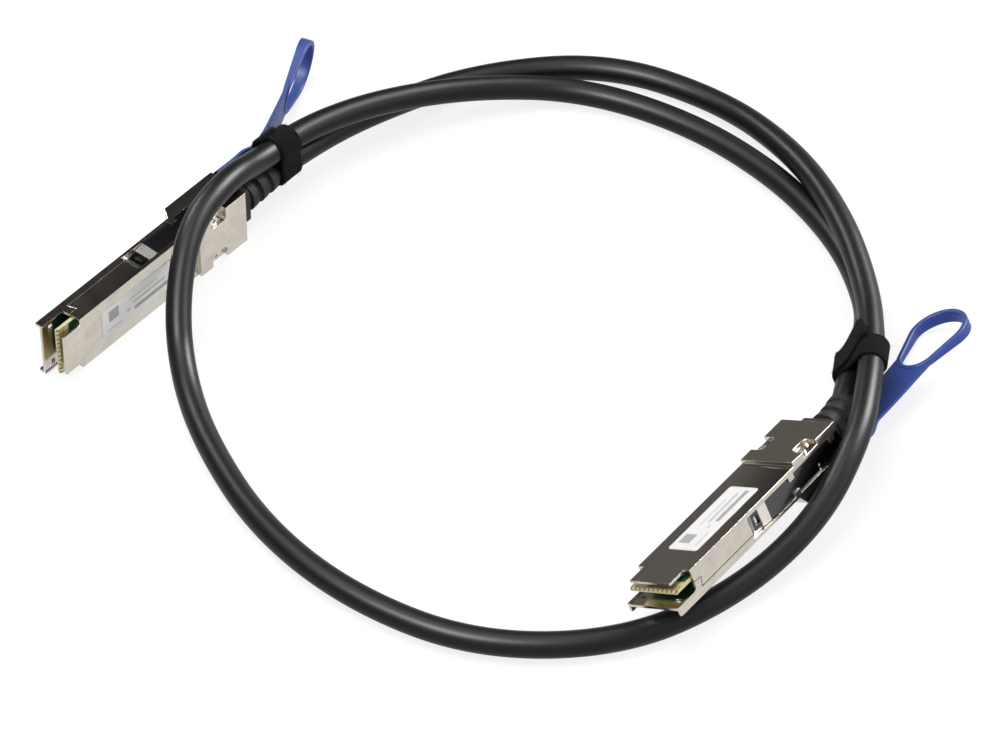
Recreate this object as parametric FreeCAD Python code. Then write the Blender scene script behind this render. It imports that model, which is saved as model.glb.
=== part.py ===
"""Direct attach copper cable: two pluggable connectors joined by a fixed copper cable, with two ties.

Lengths are in millimetres and angles in degrees.  Each plug is drawn in its own axes: X runs from
the mating end to the cable end, Y runs across the plug, and Z is the normal of the labelled face.
Plug A then lies on one narrow side and plug B lies rolled over, and the cable joins the two boots.
"""
import math
import os

import FreeCAD, Part
from FreeCAD import BoundBox, Placement, Rotation, Vector

# ---- plug body -------------------------------------------------------------------------------
BODY_WIDTH = 18.35          # across the two narrow sides
BODY_HEIGHT = 8.5           # front part, label face to lower edges
BODY_LENGTH = 74.5          # lower shell front to the rear face
SHEET = 0.8                 # thickness of the shells' walls
NOSE_WALL_HEIGHT = 2.55     # low side walls at the very front
NOSE_PLATE_DROP = 2.3       # how far the front plate sits inside the lower edges
NOSE_PLATE_LENGTH = 15.0
TONGUE_SETBACK = 2.1        # upper plate behind the front of the lower shell
TONGUE_INSET = 2.075        # from the narrow side
TONGUE_LENGTH = 6.3
SEAM_HEIGHT = 2.2           # joint line above the lower edges
HOOK_LENGTH = 2.8           # hooked jag of the joint line behind the nose
HOOK_RISE = 2.7
HOOK_SLANT = 0.2
HOOK_UNDERCUT = 0.9
HOOK_FOOT = (0.25, 0.8)     # corner in front of the hook, ahead of and above the joint line
NOSE_SLOPE = 1.3            # run from the hook down to the low side walls
NOSE_HOLE = (1.3, 2.0)      # length and width of the two slots in the front plate
NOSE_HOLE_SETBACK = 3.3
NOSE_HOLE_INSET = 2.675     # from the narrow side

# ---- plug rear part --------------------------------------------------------------------------
REAR_LENGTH = 19.1
REAR_RISE = 1.2             # upper face above the label face
REAR_DROP = 3.25            # lower face below the lower edges
REAR_CHAMFER = 2.2
POCKET_START = 4.9          # from the start of the rear part
POCKET_LENGTH = 6.0
POCKET_REACH = 4.1
POCKET_DEPTH = 1.5
POCKET_ROUND = 1.4

# ---- side channel and latch slide ------------------------------------------------------------
CHANNEL_START = 33.2
CHANNEL_LOW = -3.3
CHANNEL_HIGH = 2.9
CHANNEL_DEPTH = 1.55
LATCH_SHEET = 0.5
LATCH_GAP = 0.15            # play between the slide and the channel
LATCH_TIP = 2.0             # bent-out front end
LATCH_TIP_RISE = 0.7
LATCH_STEP_SETBACK = 5.4    # cam slope behind the channel's front
LATCH_STEP_LENGTH = 2.9
LATCH_STEP_RISE = 0.4
LATCH_WINDOW = (3.0, 1.8, 2.4)     # behind the channel's front, length, height
LATCH_REAR_WINDOW = (10.4, 2.6, 2.2)   # ahead of the rear face, length, height
LATCH_REAR_WINDOW_Z = -1.8
LATCH_LEG_LENGTH = 5.0      # leg behind the shells
LATCH_LEG_GAP = 0.4         # between the shells' rear face and the cross strap
LATCH_LEG_FOOT = -7.1
LATCH_LEG_TOP = -3.6
LATCH_LEG_SLOPE = 1.6       # run of the sloping corner above the leg
KEEPER_SETBACK = 3.4        # ahead of the rear part
REAR_KEEPER_SETBACK = 4.0   # ahead of the rear face
KEEPER_LENGTH = 2.4
KEEPER_REACH = 1.5
KEEPER_ROOT = 0.3           # bite into the channel's edge

# ---- inside ----------------------------------------------------------------------------------
CARD_SIDE_GAP = 0.175       # to the shells' walls
CARD_THICKNESS = 1.0
CARD_TOP = 1.9
CARD_LENGTH = 30.0
CARD_NOTCH = 0.8
CARD_NOTCH_SPAN = (6.5, 8.1)  # behind the card's edge
CARD_BEVEL = (0.6, 0.4)      # run and drop
PAD_MARGIN = 0.6            # bare card beside the outer pads, at least
PAD_PITCH = 0.8
PAD_WIDTH = 0.54
PAD_THICKNESS = 0.06
PAD_SIGNAL_LENGTH = 1.6
PAD_GROUND_LENGTH = 2.1
PAD_GROUND_EVERY = 3        # one ground pad, then two signal pads
PAD_SETBACK = 0.5
CHIP_SIZE = (3.0, 4.4, 0.9)
CHIP_SETBACK = 11.9         # behind the card's edge
CAPACITOR_SIZE = (1.6, 0.8, 0.8)
CAPACITOR_SETBACK = 6.9     # behind the card's edge
CAPACITOR_COUNT = 6
CAPACITOR_PITCH = 2.1
PAIR_WIDTH = 2.2
PAIR_HEIGHT = 1.3
PAIR_SIDE_GAP = 0.625       # outer pairs to the channel's walls
PAIRS_PER_SIDE = 4
PAIR_OVERLAP = 5.0          # bare ends laid on the card
MOULD_SETBACK = 25.5        # ahead of the rear face
MOULD_LENGTH = 11.0
MOULD_INSET = 0.5
MOULD_GAP = 0.1             # under the upper shell
CRIMP_LENGTH = 8.0
CRIMP_WALL = 0.6
CABLE_BORE_GAP = 0.1
SPRING_COIL_RADIUS = 0.7
SPRING_WIRE = 0.3
SPRING_TURNS = 6
SPRING_END_TURN = 0.6       # share of a pitch left free at the ends
SPRING_LENGTH = 8.0
SPRING_WALL = 1.8           # shell wall that the spring's rear end bears on
SPRING_AXIS_RISE = 1.2      # above the deep rear face
SPRING_BORE_RADIUS = 1.0
ROD_RADIUS = 0.4            # slide's rod through the spring
ROD_HEAD_RADIUS = 0.8
ROD_HEAD_LENGTH = 0.7
ROD_GAP = 0.2

# ---- screws and label ------------------------------------------------------------------------
SCREW_HEAD_RADIUS = 1.35
SCREW_HEAD_HEIGHT = 0.8
SCREW_SHANK_RADIUS = 0.75
SCREW_LENGTH = 5.0
SCREW_SLOT = (1.5, 0.36, 0.4)
SCREW_EDGE = 2.45           # screw axis from the narrow side
SCREW_GAP = 0.05
SCREW_POST_HALF = 1.55      # half length of the post round each screw
SCREW_SETBACK = 1.9         # screw axis behind the pocket's front
LABEL_START = 16.6
LABEL_LENGTH = 28.4
LABEL_WIDTH = 10.2
LABEL_THICKNESS = 0.1
LABEL_ROUND = 1.0

# ---- boot ------------------------------------------------------------------------------------
CABLE_DIAMETER = 7.2
CABLE_BEND_SHARE = 0.45     # of the shorter run at a corner, taken by its arc
CABLE_AXIS_HEIGHT = -1.0    # in the plug's Z
BOOT_BLOCK_LENGTH = 4.2
BOOT_BLOCK_WIDTH = 12.0
BOOT_BLOCK_HEIGHT = 9.2
BOOT_RIB_COUNT = 3
BOOT_RIB_LENGTH = 3.3
BOOT_GAP = 1.0
BOOT_FIRST_RIB = 9.2        # diameter
BOOT_LAST_RIB = 8.6
BOOT_RIB_TAPER = 0.35
BOOT_ROUND = 1.2
BOOT_CORE_WALL = 0.2        # sleeve between the ribs, outside the cable

# ---- pull tab --------------------------------------------------------------------------------
TAB_THICKNESS = 1.1
TAB_FACE = -6.0             # upper face of the web in the plug's Z
TAB_ARM_THICKNESS = 1.5
TAB_ARM_GAP = 0.6           # behind the slide's cross strap
TAB_ARM_LENGTH = 6.5
TAB_ARM_TOP = -3.4
TAB_ARM_SLOPE = 3.0
TAB_NECK_SETBACK = 10.0     # behind the fork's front
TAB_NECK_LENGTH = 8.0
TAB_WEB_WIDTH = 12.0
TAB_LENGTH = 65.2           # fork's front to the end of the loop
LOOP_LENGTH = 25.0
LOOP_WIDTH = 18.2           # at the round far end
LOOP_ROOT_WIDTH = 12.8      # at the round root
LOOP_WALL = 1.5
LOOP_BAND = 3.6             # height of the wall at the far end
LOOP_ROOT_BAND = 1.6

# ---- ties ------------------------------------------------------------------------------------
TIE_WIDTH = 7.6
TIE_WALL = 1.5
TIE_PLAY = 0.6
TIE_FLAP_LENGTH = 9.0
TIE_FLAP_INSET = 0.3

# ---- layout of the whole part ----------------------------------------------------------------
PLUG_A_PLACE = (-122.7, -2.8)      # on its narrow side
PLUG_A_HEADING = 50.3
PLUG_B_PLACE = (38.8, -95.3, 12.7)
PLUG_B_TURN = (52.8, 1.2, -29.2)   # heading, pitch and roll
TAB_BEND_A = (4.0, 14.2, -24.0)    # behind the fork's front, ahead of the loop, and turn in degrees
TAB_BEND_B = (14.0, 4.2, 7.3)
BOOT_BEND_A = 0.0
BOOT_BEND_B = 23.0          # boot B follows the cable sideways
TIE_A_PLACE = (-60.4, 73.5, 13.1)
TIE_A_TURN = (50.3, 0.0)    # heading, and lean to one side
TIE_B_PLACE = (99.8, -5.5, 11.7)
TIE_B_TURN = (261.0, -26.0)

CABLE_ROUTE = [             # between the two boots, whose ends are worked out from the plugs
    (-56.0, 79.0, 9.0), (-37.5, 96.8, 6.0), (-7.5, 115.6, 3.8), (31.0, 121.6, 3.6),
    (64.5, 105.0, 3.6), (84.7, 78.5, 6.9), (95.8, 47.5, 12.0), (101.6, 19.0, 12.2),
    (101.5, -3.5, 14.8), (99.8, -22.0, 17.0), (96.8, -43.0, 17.6), (86.4, -65.0, 9.4),
    (64.0, -84.5, 3.6), (32.0, -102.0, 3.6), (-8.0, -104.5, 3.6), (-40.0, -88.0, 3.6),
    (-64.0, -62.0, 3.6), (-80.5, -30.0, 3.6), (-87.6, -4.0, 4.2), (-89.6, 14.0, 14.0),
    (-86.2, 34.4, 23.4), (-76.4, 51.8, 24.8), (-66.4, 66.4, 17.5), (-54.5, 80.0, 16.5),
    (-35.3, 94.6, 13.6), (-8.6, 106.6, 8.4), (23.0, 111.0, 3.6), (54.5, 96.4, 3.6),
    (79.5, 73.0, 3.6), (94.8, 47.0, 3.6), (101.4, 22.0, 4.0), (100.4, 5.0, 6.6),
    (97.0, -9.5, 8.8)]


def box(x0, x1, y0, y1, z0, z1):
    """Block between two corners."""
    return Part.makeBox(x1 - x0, y1 - y0, z1 - z0, Vector(x0, y0, z0))


def prism(points, start, reach):
    """Closed outline of 3D points carried along a straight reach."""
    ring = [Vector(*p) + start for p in points]
    return Part.Face(Part.makePolygon(ring + ring[:1])).extrude(reach)


def side_plate(outline, y0, y1):
    """Plate drawn in the XZ plane, from y0 to y1."""
    return prism([(x, 0, z) for x, z in outline], Vector(0, y0, 0), Vector(0, y1 - y0, 0))


def flat_plate(outline, z0, z1):
    """Plate drawn in the XY plane, from z0 to z1."""
    return prism([(x, y, 0) for x, y in outline], Vector(0, 0, z0), Vector(0, 0, z1 - z0))


def mirrored(shape):
    """The shape on the other side of the plug's middle plane."""
    return shape.mirror(Vector(0, 0, 0), Vector(0, 1, 0))


def fused(first, *others):
    """One solid from shapes that meet or overlap."""
    return first.multiFuse(list(others)).removeSplitter()


HALF = BODY_WIDTH / 2
TOP = BODY_HEIGHT / 2
LOW = -BODY_HEIGHT / 2
SEAM = LOW + SEAM_HEIGHT
STEP_X = TONGUE_SETBACK + TONGUE_LENGTH
REAR_TOP = TOP + REAR_RISE
REAR_LOW = LOW - REAR_DROP
REAR_START = BODY_LENGTH - REAR_LENGTH
CHANNEL_FLOOR = HALF - CHANNEL_DEPTH
INNER = HALF - SHEET
POCKET_X = REAR_START + POCKET_START
POCKET_FLOOR = REAR_TOP - POCKET_DEPTH
LEG_START = BODY_LENGTH + LATCH_LEG_GAP
SPRING_START = BODY_LENGTH - SPRING_WALL - SPRING_LENGTH
TONGUE_HALF = HALF - TONGUE_INSET
KEEPER_START = REAR_START - KEEPER_SETBACK
REAR_KEEPER_START = BODY_LENGTH - REAR_KEEPER_SETBACK
LATCH_STEP_START = CHANNEL_START + LATCH_STEP_SETBACK
CARD_WIDTH = 2 * (INNER - CARD_SIDE_GAP)
PAD_COUNT = int((CARD_WIDTH - 2 * PAD_MARGIN - PAD_WIDTH) / PAD_PITCH) + 1
PAIR_PITCH = (2 * (CHANNEL_FLOOR - SHEET - PAIR_SIDE_GAP) - PAIR_WIDTH) / (PAIRS_PER_SIDE - 1)
MOULD_START = BODY_LENGTH - MOULD_SETBACK
TAB_ARM_START = LEG_START + LATCH_SHEET + TAB_ARM_GAP
TAB_NECK_START = TAB_ARM_START + TAB_NECK_SETBACK
TAB_NECK_END = TAB_NECK_START + TAB_NECK_LENGTH
LOOP_START = TAB_ARM_START + TAB_LENGTH - LOOP_LENGTH
PLUG_A = Placement(Vector(*PLUG_A_PLACE, HALF), Rotation(PLUG_A_HEADING, 0.0, 90.0))
PLUG_B = Placement(Vector(*PLUG_B_PLACE), Rotation(*PLUG_B_TURN))


def hook_outline(lowest):
    """Side of the upper shell at its front: slant, hook and joint line, down to a given height."""
    hook_x = STEP_X + HOOK_LENGTH
    hook_z = SEAM + HOOK_RISE
    return [(STEP_X, TOP), (STEP_X, hook_z), (hook_x, hook_z - HOOK_SLANT), (hook_x - HOOK_UNDERCUT, lowest)]


def pocket(side):
    """D-shaped pocket open to one narrow side, as a cutting solid."""
    inner = HALF - POCKET_REACH
    block = box(POCKET_X, POCKET_X + POCKET_LENGTH, inner, HALF + 1, POCKET_FLOOR, REAR_TOP + 1)
    upright = [e for e in block.Edges if abs(e.Vertexes[0].Y - inner) < 1e-6
               and abs(e.Vertexes[1].Y - inner) < 1e-6 and abs(e.Vertexes[0].X - e.Vertexes[1].X) < 1e-6]
    block = block.makeFillet(POCKET_ROUND, upright)
    return block if side > 0 else mirrored(block)


def keeper(start, low_edge):
    """Small stamped tab that holds the slide in its channel."""
    if low_edge:
        z0, z1 = CHANNEL_LOW - KEEPER_ROOT, CHANNEL_LOW + KEEPER_REACH
    else:
        z0, z1 = CHANNEL_HIGH - KEEPER_REACH, CHANNEL_HIGH + KEEPER_ROOT
    outer_face = CHANNEL_FLOOR + 2 * LATCH_GAP + LATCH_STEP_RISE + LATCH_SHEET
    return box(start, start + KEEPER_LENGTH, outer_face, HALF, z0, z1)


def top_shell():
    """Upper shell: label plate with a narrow tongue, folded sides with the slide's channel, raised rear."""
    plate = flat_plate([(TONGUE_SETBACK, -TONGUE_HALF), (STEP_X, -TONGUE_HALF), (STEP_X, -HALF),
                        (REAR_START, -HALF), (REAR_START, HALF), (STEP_X, HALF),
                        (STEP_X, TONGUE_HALF), (TONGUE_SETBACK, TONGUE_HALF)], TOP - SHEET, TOP)
    outline = hook_outline(SEAM) + [(REAR_START, SEAM), (REAR_START, TOP)]
    side = side_plate(outline, INNER, HALF)
    rear = box(REAR_START, BODY_LENGTH, -HALF, HALF, SEAM, REAR_TOP)
    rear = rear.cut(box(REAR_START - 1, BODY_LENGTH - SHEET, -CHANNEL_FLOOR + SHEET, CHANNEL_FLOOR - SHEET,
                        SEAM - 1, POCKET_FLOOR - SHEET))
    rear = fused(rear, screw_post(1, SEAM, POCKET_FLOOR), screw_post(-1, SEAM, POCKET_FLOOR))
    rear = rear.cut(cable_bore())
    channel_wall = box(CHANNEL_START - SHEET, REAR_START, CHANNEL_FLOOR - SHEET, CHANNEL_FLOOR,
                       SEAM, TOP - SHEET)
    channel = box(CHANNEL_START, BODY_LENGTH + 1, CHANNEL_FLOOR, HALF + 1, SEAM - 1, CHANNEL_HIGH)
    front_wall = box(CHANNEL_START - SHEET, CHANNEL_START, CHANNEL_FLOOR - SHEET, HALF, SEAM, TOP - SHEET)
    shell = fused(plate, side, mirrored(side), rear, channel_wall, mirrored(channel_wall),
                  front_wall, mirrored(front_wall))
    shell = shell.cut(channel).cut(mirrored(channel))
    for start in (KEEPER_START, REAR_KEEPER_START):
        shell = fused(shell, keeper(start, False), mirrored(keeper(start, False)))
    for side_sign in (1, -1):
        shell = shell.cut(pocket(side_sign))
        shell = shell.cut(screw_hole(side_sign))
    return shell.removeSplitter()


def screw_place(side_sign):
    """Screw axis in the plug's X and Y."""
    return POCKET_X + SCREW_SETBACK, side_sign * (HALF - SCREW_EDGE)


def screw_hole(side_sign):
    """Clearance hole for one shell screw, right through both shells' screw posts."""
    x, y = screw_place(side_sign)
    depth = SCREW_LENGTH + 4 * SCREW_GAP
    return Part.makeCylinder(SCREW_SHANK_RADIUS + SCREW_GAP, depth + SHEET,
                             Vector(x, y, POCKET_FLOOR - depth))


def screw_post(side_sign, z0, z1):
    """Post that thickens the channel's wall round a screw."""
    x = screw_place(side_sign)[0]
    post = box(x - SCREW_POST_HALF, x + SCREW_POST_HALF, HALF - POCKET_REACH, CHANNEL_FLOOR, z0, z1)
    return post if side_sign > 0 else mirrored(post)


def cable_bore():
    """Round room for the crimped cable, from the mould out through the rear walls."""
    start = MOULD_START + MOULD_LENGTH
    return Part.makeCylinder(CABLE_DIAMETER / 2 + CABLE_BORE_GAP, BODY_LENGTH + 1 - start,
                             Vector(start, 0, CABLE_AXIS_HEIGHT), Vector(1, 0, 0))


def bottom_shell():
    """Lower shell: low nose walls with a raised front plate, floor, side rails and the deep rear part."""
    plate_top = LOW + NOSE_PLATE_DROP
    nose = box(0, NOSE_PLATE_LENGTH, -INNER, INNER, plate_top - SHEET, plate_top)
    floor = box(NOSE_PLATE_LENGTH - SHEET, REAR_START, -HALF, HALF, LOW, LOW + SHEET)
    riser = box(NOSE_PLATE_LENGTH - SHEET, NOSE_PLATE_LENGTH, -INNER, INNER, LOW, plate_top)
    hook_x = STEP_X + HOOK_LENGTH
    wall_top = LOW + NOSE_WALL_HEIGHT
    rail = side_plate([(0, LOW), (BODY_LENGTH, LOW), (BODY_LENGTH, SEAM), (hook_x - HOOK_UNDERCUT, SEAM),
                       (hook_x, SEAM + HOOK_RISE - HOOK_SLANT), (STEP_X, SEAM + HOOK_RISE),
                       (STEP_X - HOOK_FOOT[0], SEAM + HOOK_FOOT[1]), (STEP_X - NOSE_SLOPE, wall_top),
                       (0, wall_top)], INNER, HALF)
    rear = side_plate([(REAR_START - REAR_CHAMFER, LOW), (REAR_START, REAR_LOW), (BODY_LENGTH, REAR_LOW),
                       (BODY_LENGTH, SEAM), (REAR_START - REAR_CHAMFER, SEAM)], -HALF, HALF)
    rear = rear.cut(box(REAR_START - REAR_CHAMFER - 1, BODY_LENGTH - SHEET, -CHANNEL_FLOOR + SHEET,
                        CHANNEL_FLOOR - SHEET, LOW + SHEET, SEAM + 1))
    rear = fused(rear, screw_post(1, LOW, SEAM), screw_post(-1, LOW, SEAM))
    rear = rear.cut(cable_bore()).cut(spring_bore())
    channel_wall = box(CHANNEL_START - SHEET, REAR_START, CHANNEL_FLOOR - SHEET, CHANNEL_FLOOR, LOW, SEAM)
    front_wall = box(CHANNEL_START - SHEET, CHANNEL_START, CHANNEL_FLOOR - SHEET, HALF, LOW, SEAM)
    channel = box(CHANNEL_START, BODY_LENGTH + 1, CHANNEL_FLOOR, HALF + 1, CHANNEL_LOW, SEAM + 1)
    shell = fused(nose, floor, riser, rail, mirrored(rail), rear, channel_wall, mirrored(channel_wall),
                  front_wall, mirrored(front_wall))
    shell = shell.cut(channel).cut(mirrored(channel))
    shell = fused(shell, keeper(KEEPER_START, True), mirrored(keeper(KEEPER_START, True)))
    for side_sign in (1, -1):
        x, y = NOSE_HOLE_SETBACK, side_sign * (HALF - NOSE_HOLE_INSET)
        shell = shell.cut(box(x - NOSE_HOLE[0] / 2, x + NOSE_HOLE[0] / 2, y - NOSE_HOLE[1] / 2,
                              y + NOSE_HOLE[1] / 2, plate_top - 2 * SHEET, plate_top + 1))
        shell = shell.cut(screw_hole(side_sign))
    return shell.removeSplitter()


def spring_bore():
    """Bore in the deep rear part for the spring and the rod's head, with a narrow mouth for the rod."""
    start = SPRING_START - ROD_HEAD_LENGTH - 2 * ROD_GAP
    room = rod(start, BODY_LENGTH - SPRING_WALL, SPRING_BORE_RADIUS)
    return fused(room, rod(start, BODY_LENGTH + 1, ROD_RADIUS + ROD_GAP))


def rod(x0, x1, radius):
    """Round bar on the spring's axis."""
    return Part.makeCylinder(radius, x1 - x0, Vector(x0, 0, REAR_LOW + SPRING_AXIS_RISE), Vector(1, 0, 0))


def return_spring():
    """Compression spring that pushes the slide back to its latched place."""
    pitch = SPRING_LENGTH / (SPRING_TURNS + SPRING_END_TURN)
    helix = Part.makeHelix(pitch, pitch * SPRING_TURNS, SPRING_COIL_RADIUS)
    half_wire = SPRING_WIRE / 2
    corners = [Vector(SPRING_COIL_RADIUS + dx * half_wire, 0, dz * half_wire)
               for dx, dz in ((-1, -1), (1, -1), (1, 1), (-1, 1))]
    section = Part.makePolygon(corners + corners[:1])
    coil = Part.Wire(helix.Edges).makePipeShell([section], True, True)
    coil.rotate(Vector(0, 0, 0), Vector(0, 1, 0), 90)
    coil.translate(Vector(SPRING_START + SPRING_WIRE, 0, REAR_LOW + SPRING_AXIS_RISE))
    return coil


def latch_arm():
    """One side arm of the slide: bent-out tip, window, cam slope, long plate and rear leg."""
    low = CHANNEL_LOW + LATCH_GAP
    high = CHANNEL_HIGH - LATCH_GAP
    inner = CHANNEL_FLOOR + LATCH_GAP
    start = CHANNEL_START + LATCH_GAP
    step_end = LATCH_STEP_START + LATCH_STEP_LENGTH
    leg_end = BODY_LENGTH + LATCH_LEG_LENGTH
    path = [(start, inner + LATCH_TIP_RISE), (start + LATCH_TIP, inner), (LATCH_STEP_START, inner),
            (step_end, inner + LATCH_STEP_RISE), (leg_end, inner + LATCH_STEP_RISE)]
    outline = path + [(x, y + LATCH_SHEET) for x, y in reversed(path)]
    arm = flat_plate(outline, LATCH_LEG_FOOT, high)
    arm = arm.cut(box(start - 1, LEG_START, 0, HALF + 2, LATCH_LEG_FOOT - 1, low))
    for start_x, z, (_, window, height) in ((CHANNEL_START + LATCH_WINDOW[0], 0, LATCH_WINDOW),
                                            (BODY_LENGTH - LATCH_REAR_WINDOW[0], LATCH_REAR_WINDOW_Z,
                                             LATCH_REAR_WINDOW)):
        arm = arm.cut(box(start_x, start_x + window, 0, HALF + 2, z - height / 2, z + height / 2))
    corner = side_plate([(LEG_START, high + 1), (leg_end + 1, high + 1), (leg_end + 1, LATCH_LEG_TOP),
                         (LEG_START + LATCH_LEG_SLOPE, LATCH_LEG_TOP), (LEG_START, high)], 0, HALF + 2)
    return arm.cut(corner)


def latch_slide():
    """Stamped slide: two side arms joined behind the shells by a strap, with the spring's headed rod."""
    inner = CHANNEL_FLOOR + LATCH_GAP + LATCH_STEP_RISE
    strap = box(LEG_START, LEG_START + LATCH_SHEET, -inner - LATCH_SHEET / 2, inner + LATCH_SHEET / 2,
                LATCH_LEG_FOOT, TAB_FACE)
    head_end = SPRING_START - ROD_GAP / 2
    head = rod(head_end - ROD_HEAD_LENGTH, head_end, ROD_HEAD_RADIUS)
    shaft = rod(head_end - ROD_HEAD_LENGTH, LEG_START + LATCH_SHEET, ROD_RADIUS)
    return fused(latch_arm(), mirrored(latch_arm()), strap, head, shaft)


def tab_station(bend, x, offset=0.0):
    """Point of the bent strip at a distance along it, offset from its middle surface."""
    bend_start, bend_length, turn = bend_span(bend)
    centre_z = TAB_FACE - TAB_THICKNESS / 2
    radius = bend_length / turn
    angle = min(max(x - bend_start, 0.0), bend_length) / radius
    point = Vector(min(x, bend_start) + radius * math.sin(angle), 0,
                   centre_z + radius * (1 - math.cos(angle)))
    rest = max(0.0, x - bend_start - bend_length)
    point += Vector(math.cos(angle), 0, math.sin(angle)) * rest
    return point + Vector(-math.sin(angle), 0, math.cos(angle)) * offset


def bend_span(bend):
    """Start, length and turn in radians of the strip's bend, which fills what its two straight ends leave."""
    setback, straight, turn = bend
    return (TAB_ARM_START + setback, LOOP_START - straight - TAB_ARM_START - setback, math.radians(turn))


def tab_strip(bend, x_end):
    """Bent strip from the fork's front to a station, wider than the plug, to be trimmed to an outline."""
    bend_start, bend_length, _ = bend_span(bend)
    stations = (TAB_ARM_START, bend_start, bend_start + bend_length / 2, bend_start + bend_length, x_end)
    below, above = [[tab_station(bend, x, offset) for x in stations]
                    for offset in (-TAB_THICKNESS / 2, TAB_THICKNESS / 2)]
    curves = [Part.LineSegment(below[0], above[0]), Part.LineSegment(below[-1], above[-1])]
    for start, first, middle, last, end in (below, above):
        curves += [Part.LineSegment(start, first), Part.Arc(first, middle, last), Part.LineSegment(last, end)]
    outline = Part.Wire(Part.__sortEdges__([curve.toShape() for curve in curves]))
    face = Part.Face(outline)
    face.translate(Vector(0, -BODY_WIDTH, 0))
    return face.extrude(Vector(0, 2 * BODY_WIDTH, 0))


def stadium(length, width, z0, z1):
    """Long round-ended block about the origin."""
    half_run = (length - width) / 2
    ends = [Part.makeCylinder(width / 2, z1 - z0, Vector(s * half_run, 0, z0)) for s in (-1, 1)]
    return fused(box(-half_run, half_run, -width / 2, width / 2, z0, z1), *ends)


def teardrop(inset, half_height):
    """Block round the finger loop's two circles and their common tangents, drawn in by an inset."""
    root_radius, end_radius = LOOP_ROOT_WIDTH / 2 - inset, LOOP_WIDTH / 2 - inset
    root_x, end_x = inset + root_radius, LOOP_LENGTH - inset - end_radius
    lean = math.asin((end_radius - root_radius) / (end_x - root_x))
    ahead, aside = -math.sin(lean), math.cos(lean)
    root_far, root_near, end_near, end_far = [
        Vector(x + r * ahead, side * r * aside, -half_height)
        for x, r, side in ((root_x, root_radius, 1), (root_x, root_radius, -1), (end_x, end_radius, -1),
                           (end_x, end_radius, 1))]
    curves = [Part.Arc(root_far, Vector(inset, 0, -half_height), root_near),
              Part.LineSegment(root_near, end_near),
              Part.Arc(end_near, Vector(LOOP_LENGTH - inset, 0, -half_height), end_far),
              Part.LineSegment(end_far, root_far)]
    face = Part.Face(Part.Wire([curve.toShape() for curve in curves]))
    return face.extrude(Vector(0, 0, 2 * half_height))


def finger_loop(bend):
    """Finger loop's outer block, whose wall rises from the root to the far end, and its hole."""
    band, root_band = LOOP_BAND / 2, LOOP_ROOT_BAND / 2
    rise = side_plate([(0, -root_band), (LOOP_LENGTH, -band), (LOOP_LENGTH, band), (0, root_band)],
                      -LOOP_WIDTH, LOOP_WIDTH)
    shapes = [teardrop(0.0, LOOP_BAND).common(rise), teardrop(LOOP_WALL, LOOP_BAND)]
    for shape in shapes:
        shape.Placement = Placement(tab_station(bend, LOOP_START), Rotation(Vector(0, 1, 0), -bend[2]))
    return shapes


def pull_tab(bend):
    """Moulded pull tab: fork behind the shells, flat web under the boot and a finger loop."""
    inner = CHANNEL_FLOOR + LATCH_GAP + LATCH_STEP_RISE
    half_web = TAB_WEB_WIDTH / 2
    reach = TAB_ARM_START + TAB_LENGTH
    outline = [(TAB_ARM_START, inner), (TAB_NECK_START, inner), (TAB_NECK_END, half_web), (reach, half_web)]
    outline += [(x, -y) for x, y in reversed(outline)]
    web = tab_strip(bend, LOOP_START + LOOP_ROOT_WIDTH / 2).common(flat_plate(outline, -reach, reach))
    arm_end = TAB_ARM_START + TAB_ARM_LENGTH
    strip_middle = TAB_FACE - TAB_THICKNESS / 2
    arm = side_plate([(TAB_ARM_START, strip_middle), (arm_end, strip_middle), (arm_end, TAB_FACE),
                      (arm_end - TAB_ARM_SLOPE, TAB_ARM_TOP), (TAB_ARM_START, TAB_ARM_TOP)],
                     inner - TAB_ARM_THICKNESS, inner)
    loop, hole = finger_loop(bend)
    return fused(web, arm, mirrored(arm), loop).cut(hole)


def paddle_card():
    """Circuit card with its two keying notches and bevelled mating edge."""
    half = CARD_WIDTH / 2
    x0 = TONGUE_SETBACK
    card = box(x0, x0 + CARD_LENGTH, -half, half, CARD_TOP - CARD_THICKNESS, CARD_TOP)
    notch_start, notch_end = CARD_NOTCH_SPAN
    notch = box(x0 + notch_start, x0 + notch_end, half - CARD_NOTCH, half + 1, CARD_TOP - 2 * CARD_THICKNESS,
                CARD_TOP + 1)
    run, drop = CARD_BEVEL
    bevel = side_plate([(x0, CARD_TOP), (x0 + run, CARD_TOP), (x0, CARD_TOP - drop)], -half - 1, half + 1)
    return card.cut(notch).cut(mirrored(notch)).cut(bevel)


def contact_pads():
    """Two rows of contact pads, with every third pad a longer ground pad, as separate solids."""
    pads = []
    for face_z in (CARD_TOP, CARD_TOP - CARD_THICKNESS - PAD_THICKNESS):
        for index in range(PAD_COUNT):
            y = (index - (PAD_COUNT - 1) / 2) * PAD_PITCH
            length = PAD_GROUND_LENGTH if index % PAD_GROUND_EVERY == 0 else PAD_SIGNAL_LENGTH
            x0 = TONGUE_SETBACK + PAD_SETBACK + PAD_GROUND_LENGTH - length
            pads.append(box(x0, x0 + length, y - PAD_WIDTH / 2, y + PAD_WIDTH / 2,
                            face_z, face_z + PAD_THICKNESS))
    return Part.makeCompound(pads)


def memory_chip():
    """Small memory chip on the card's upper face."""
    length, width, height = CHIP_SIZE
    x0 = TONGUE_SETBACK + CHIP_SETBACK
    return box(x0, x0 + length, -width / 2, width / 2, CARD_TOP, CARD_TOP + height)


def capacitors():
    """Row of coupling capacitors across the card, as separate solids."""
    length, width, height = CAPACITOR_SIZE
    x0 = TONGUE_SETBACK + CAPACITOR_SETBACK
    parts = []
    for index in range(CAPACITOR_COUNT):
        y = (index - (CAPACITOR_COUNT - 1) / 2) * CAPACITOR_PITCH
        parts.append(box(x0, x0 + length, y - width / 2, y + width / 2, CARD_TOP, CARD_TOP + height))
    return Part.makeCompound(parts)


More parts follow.
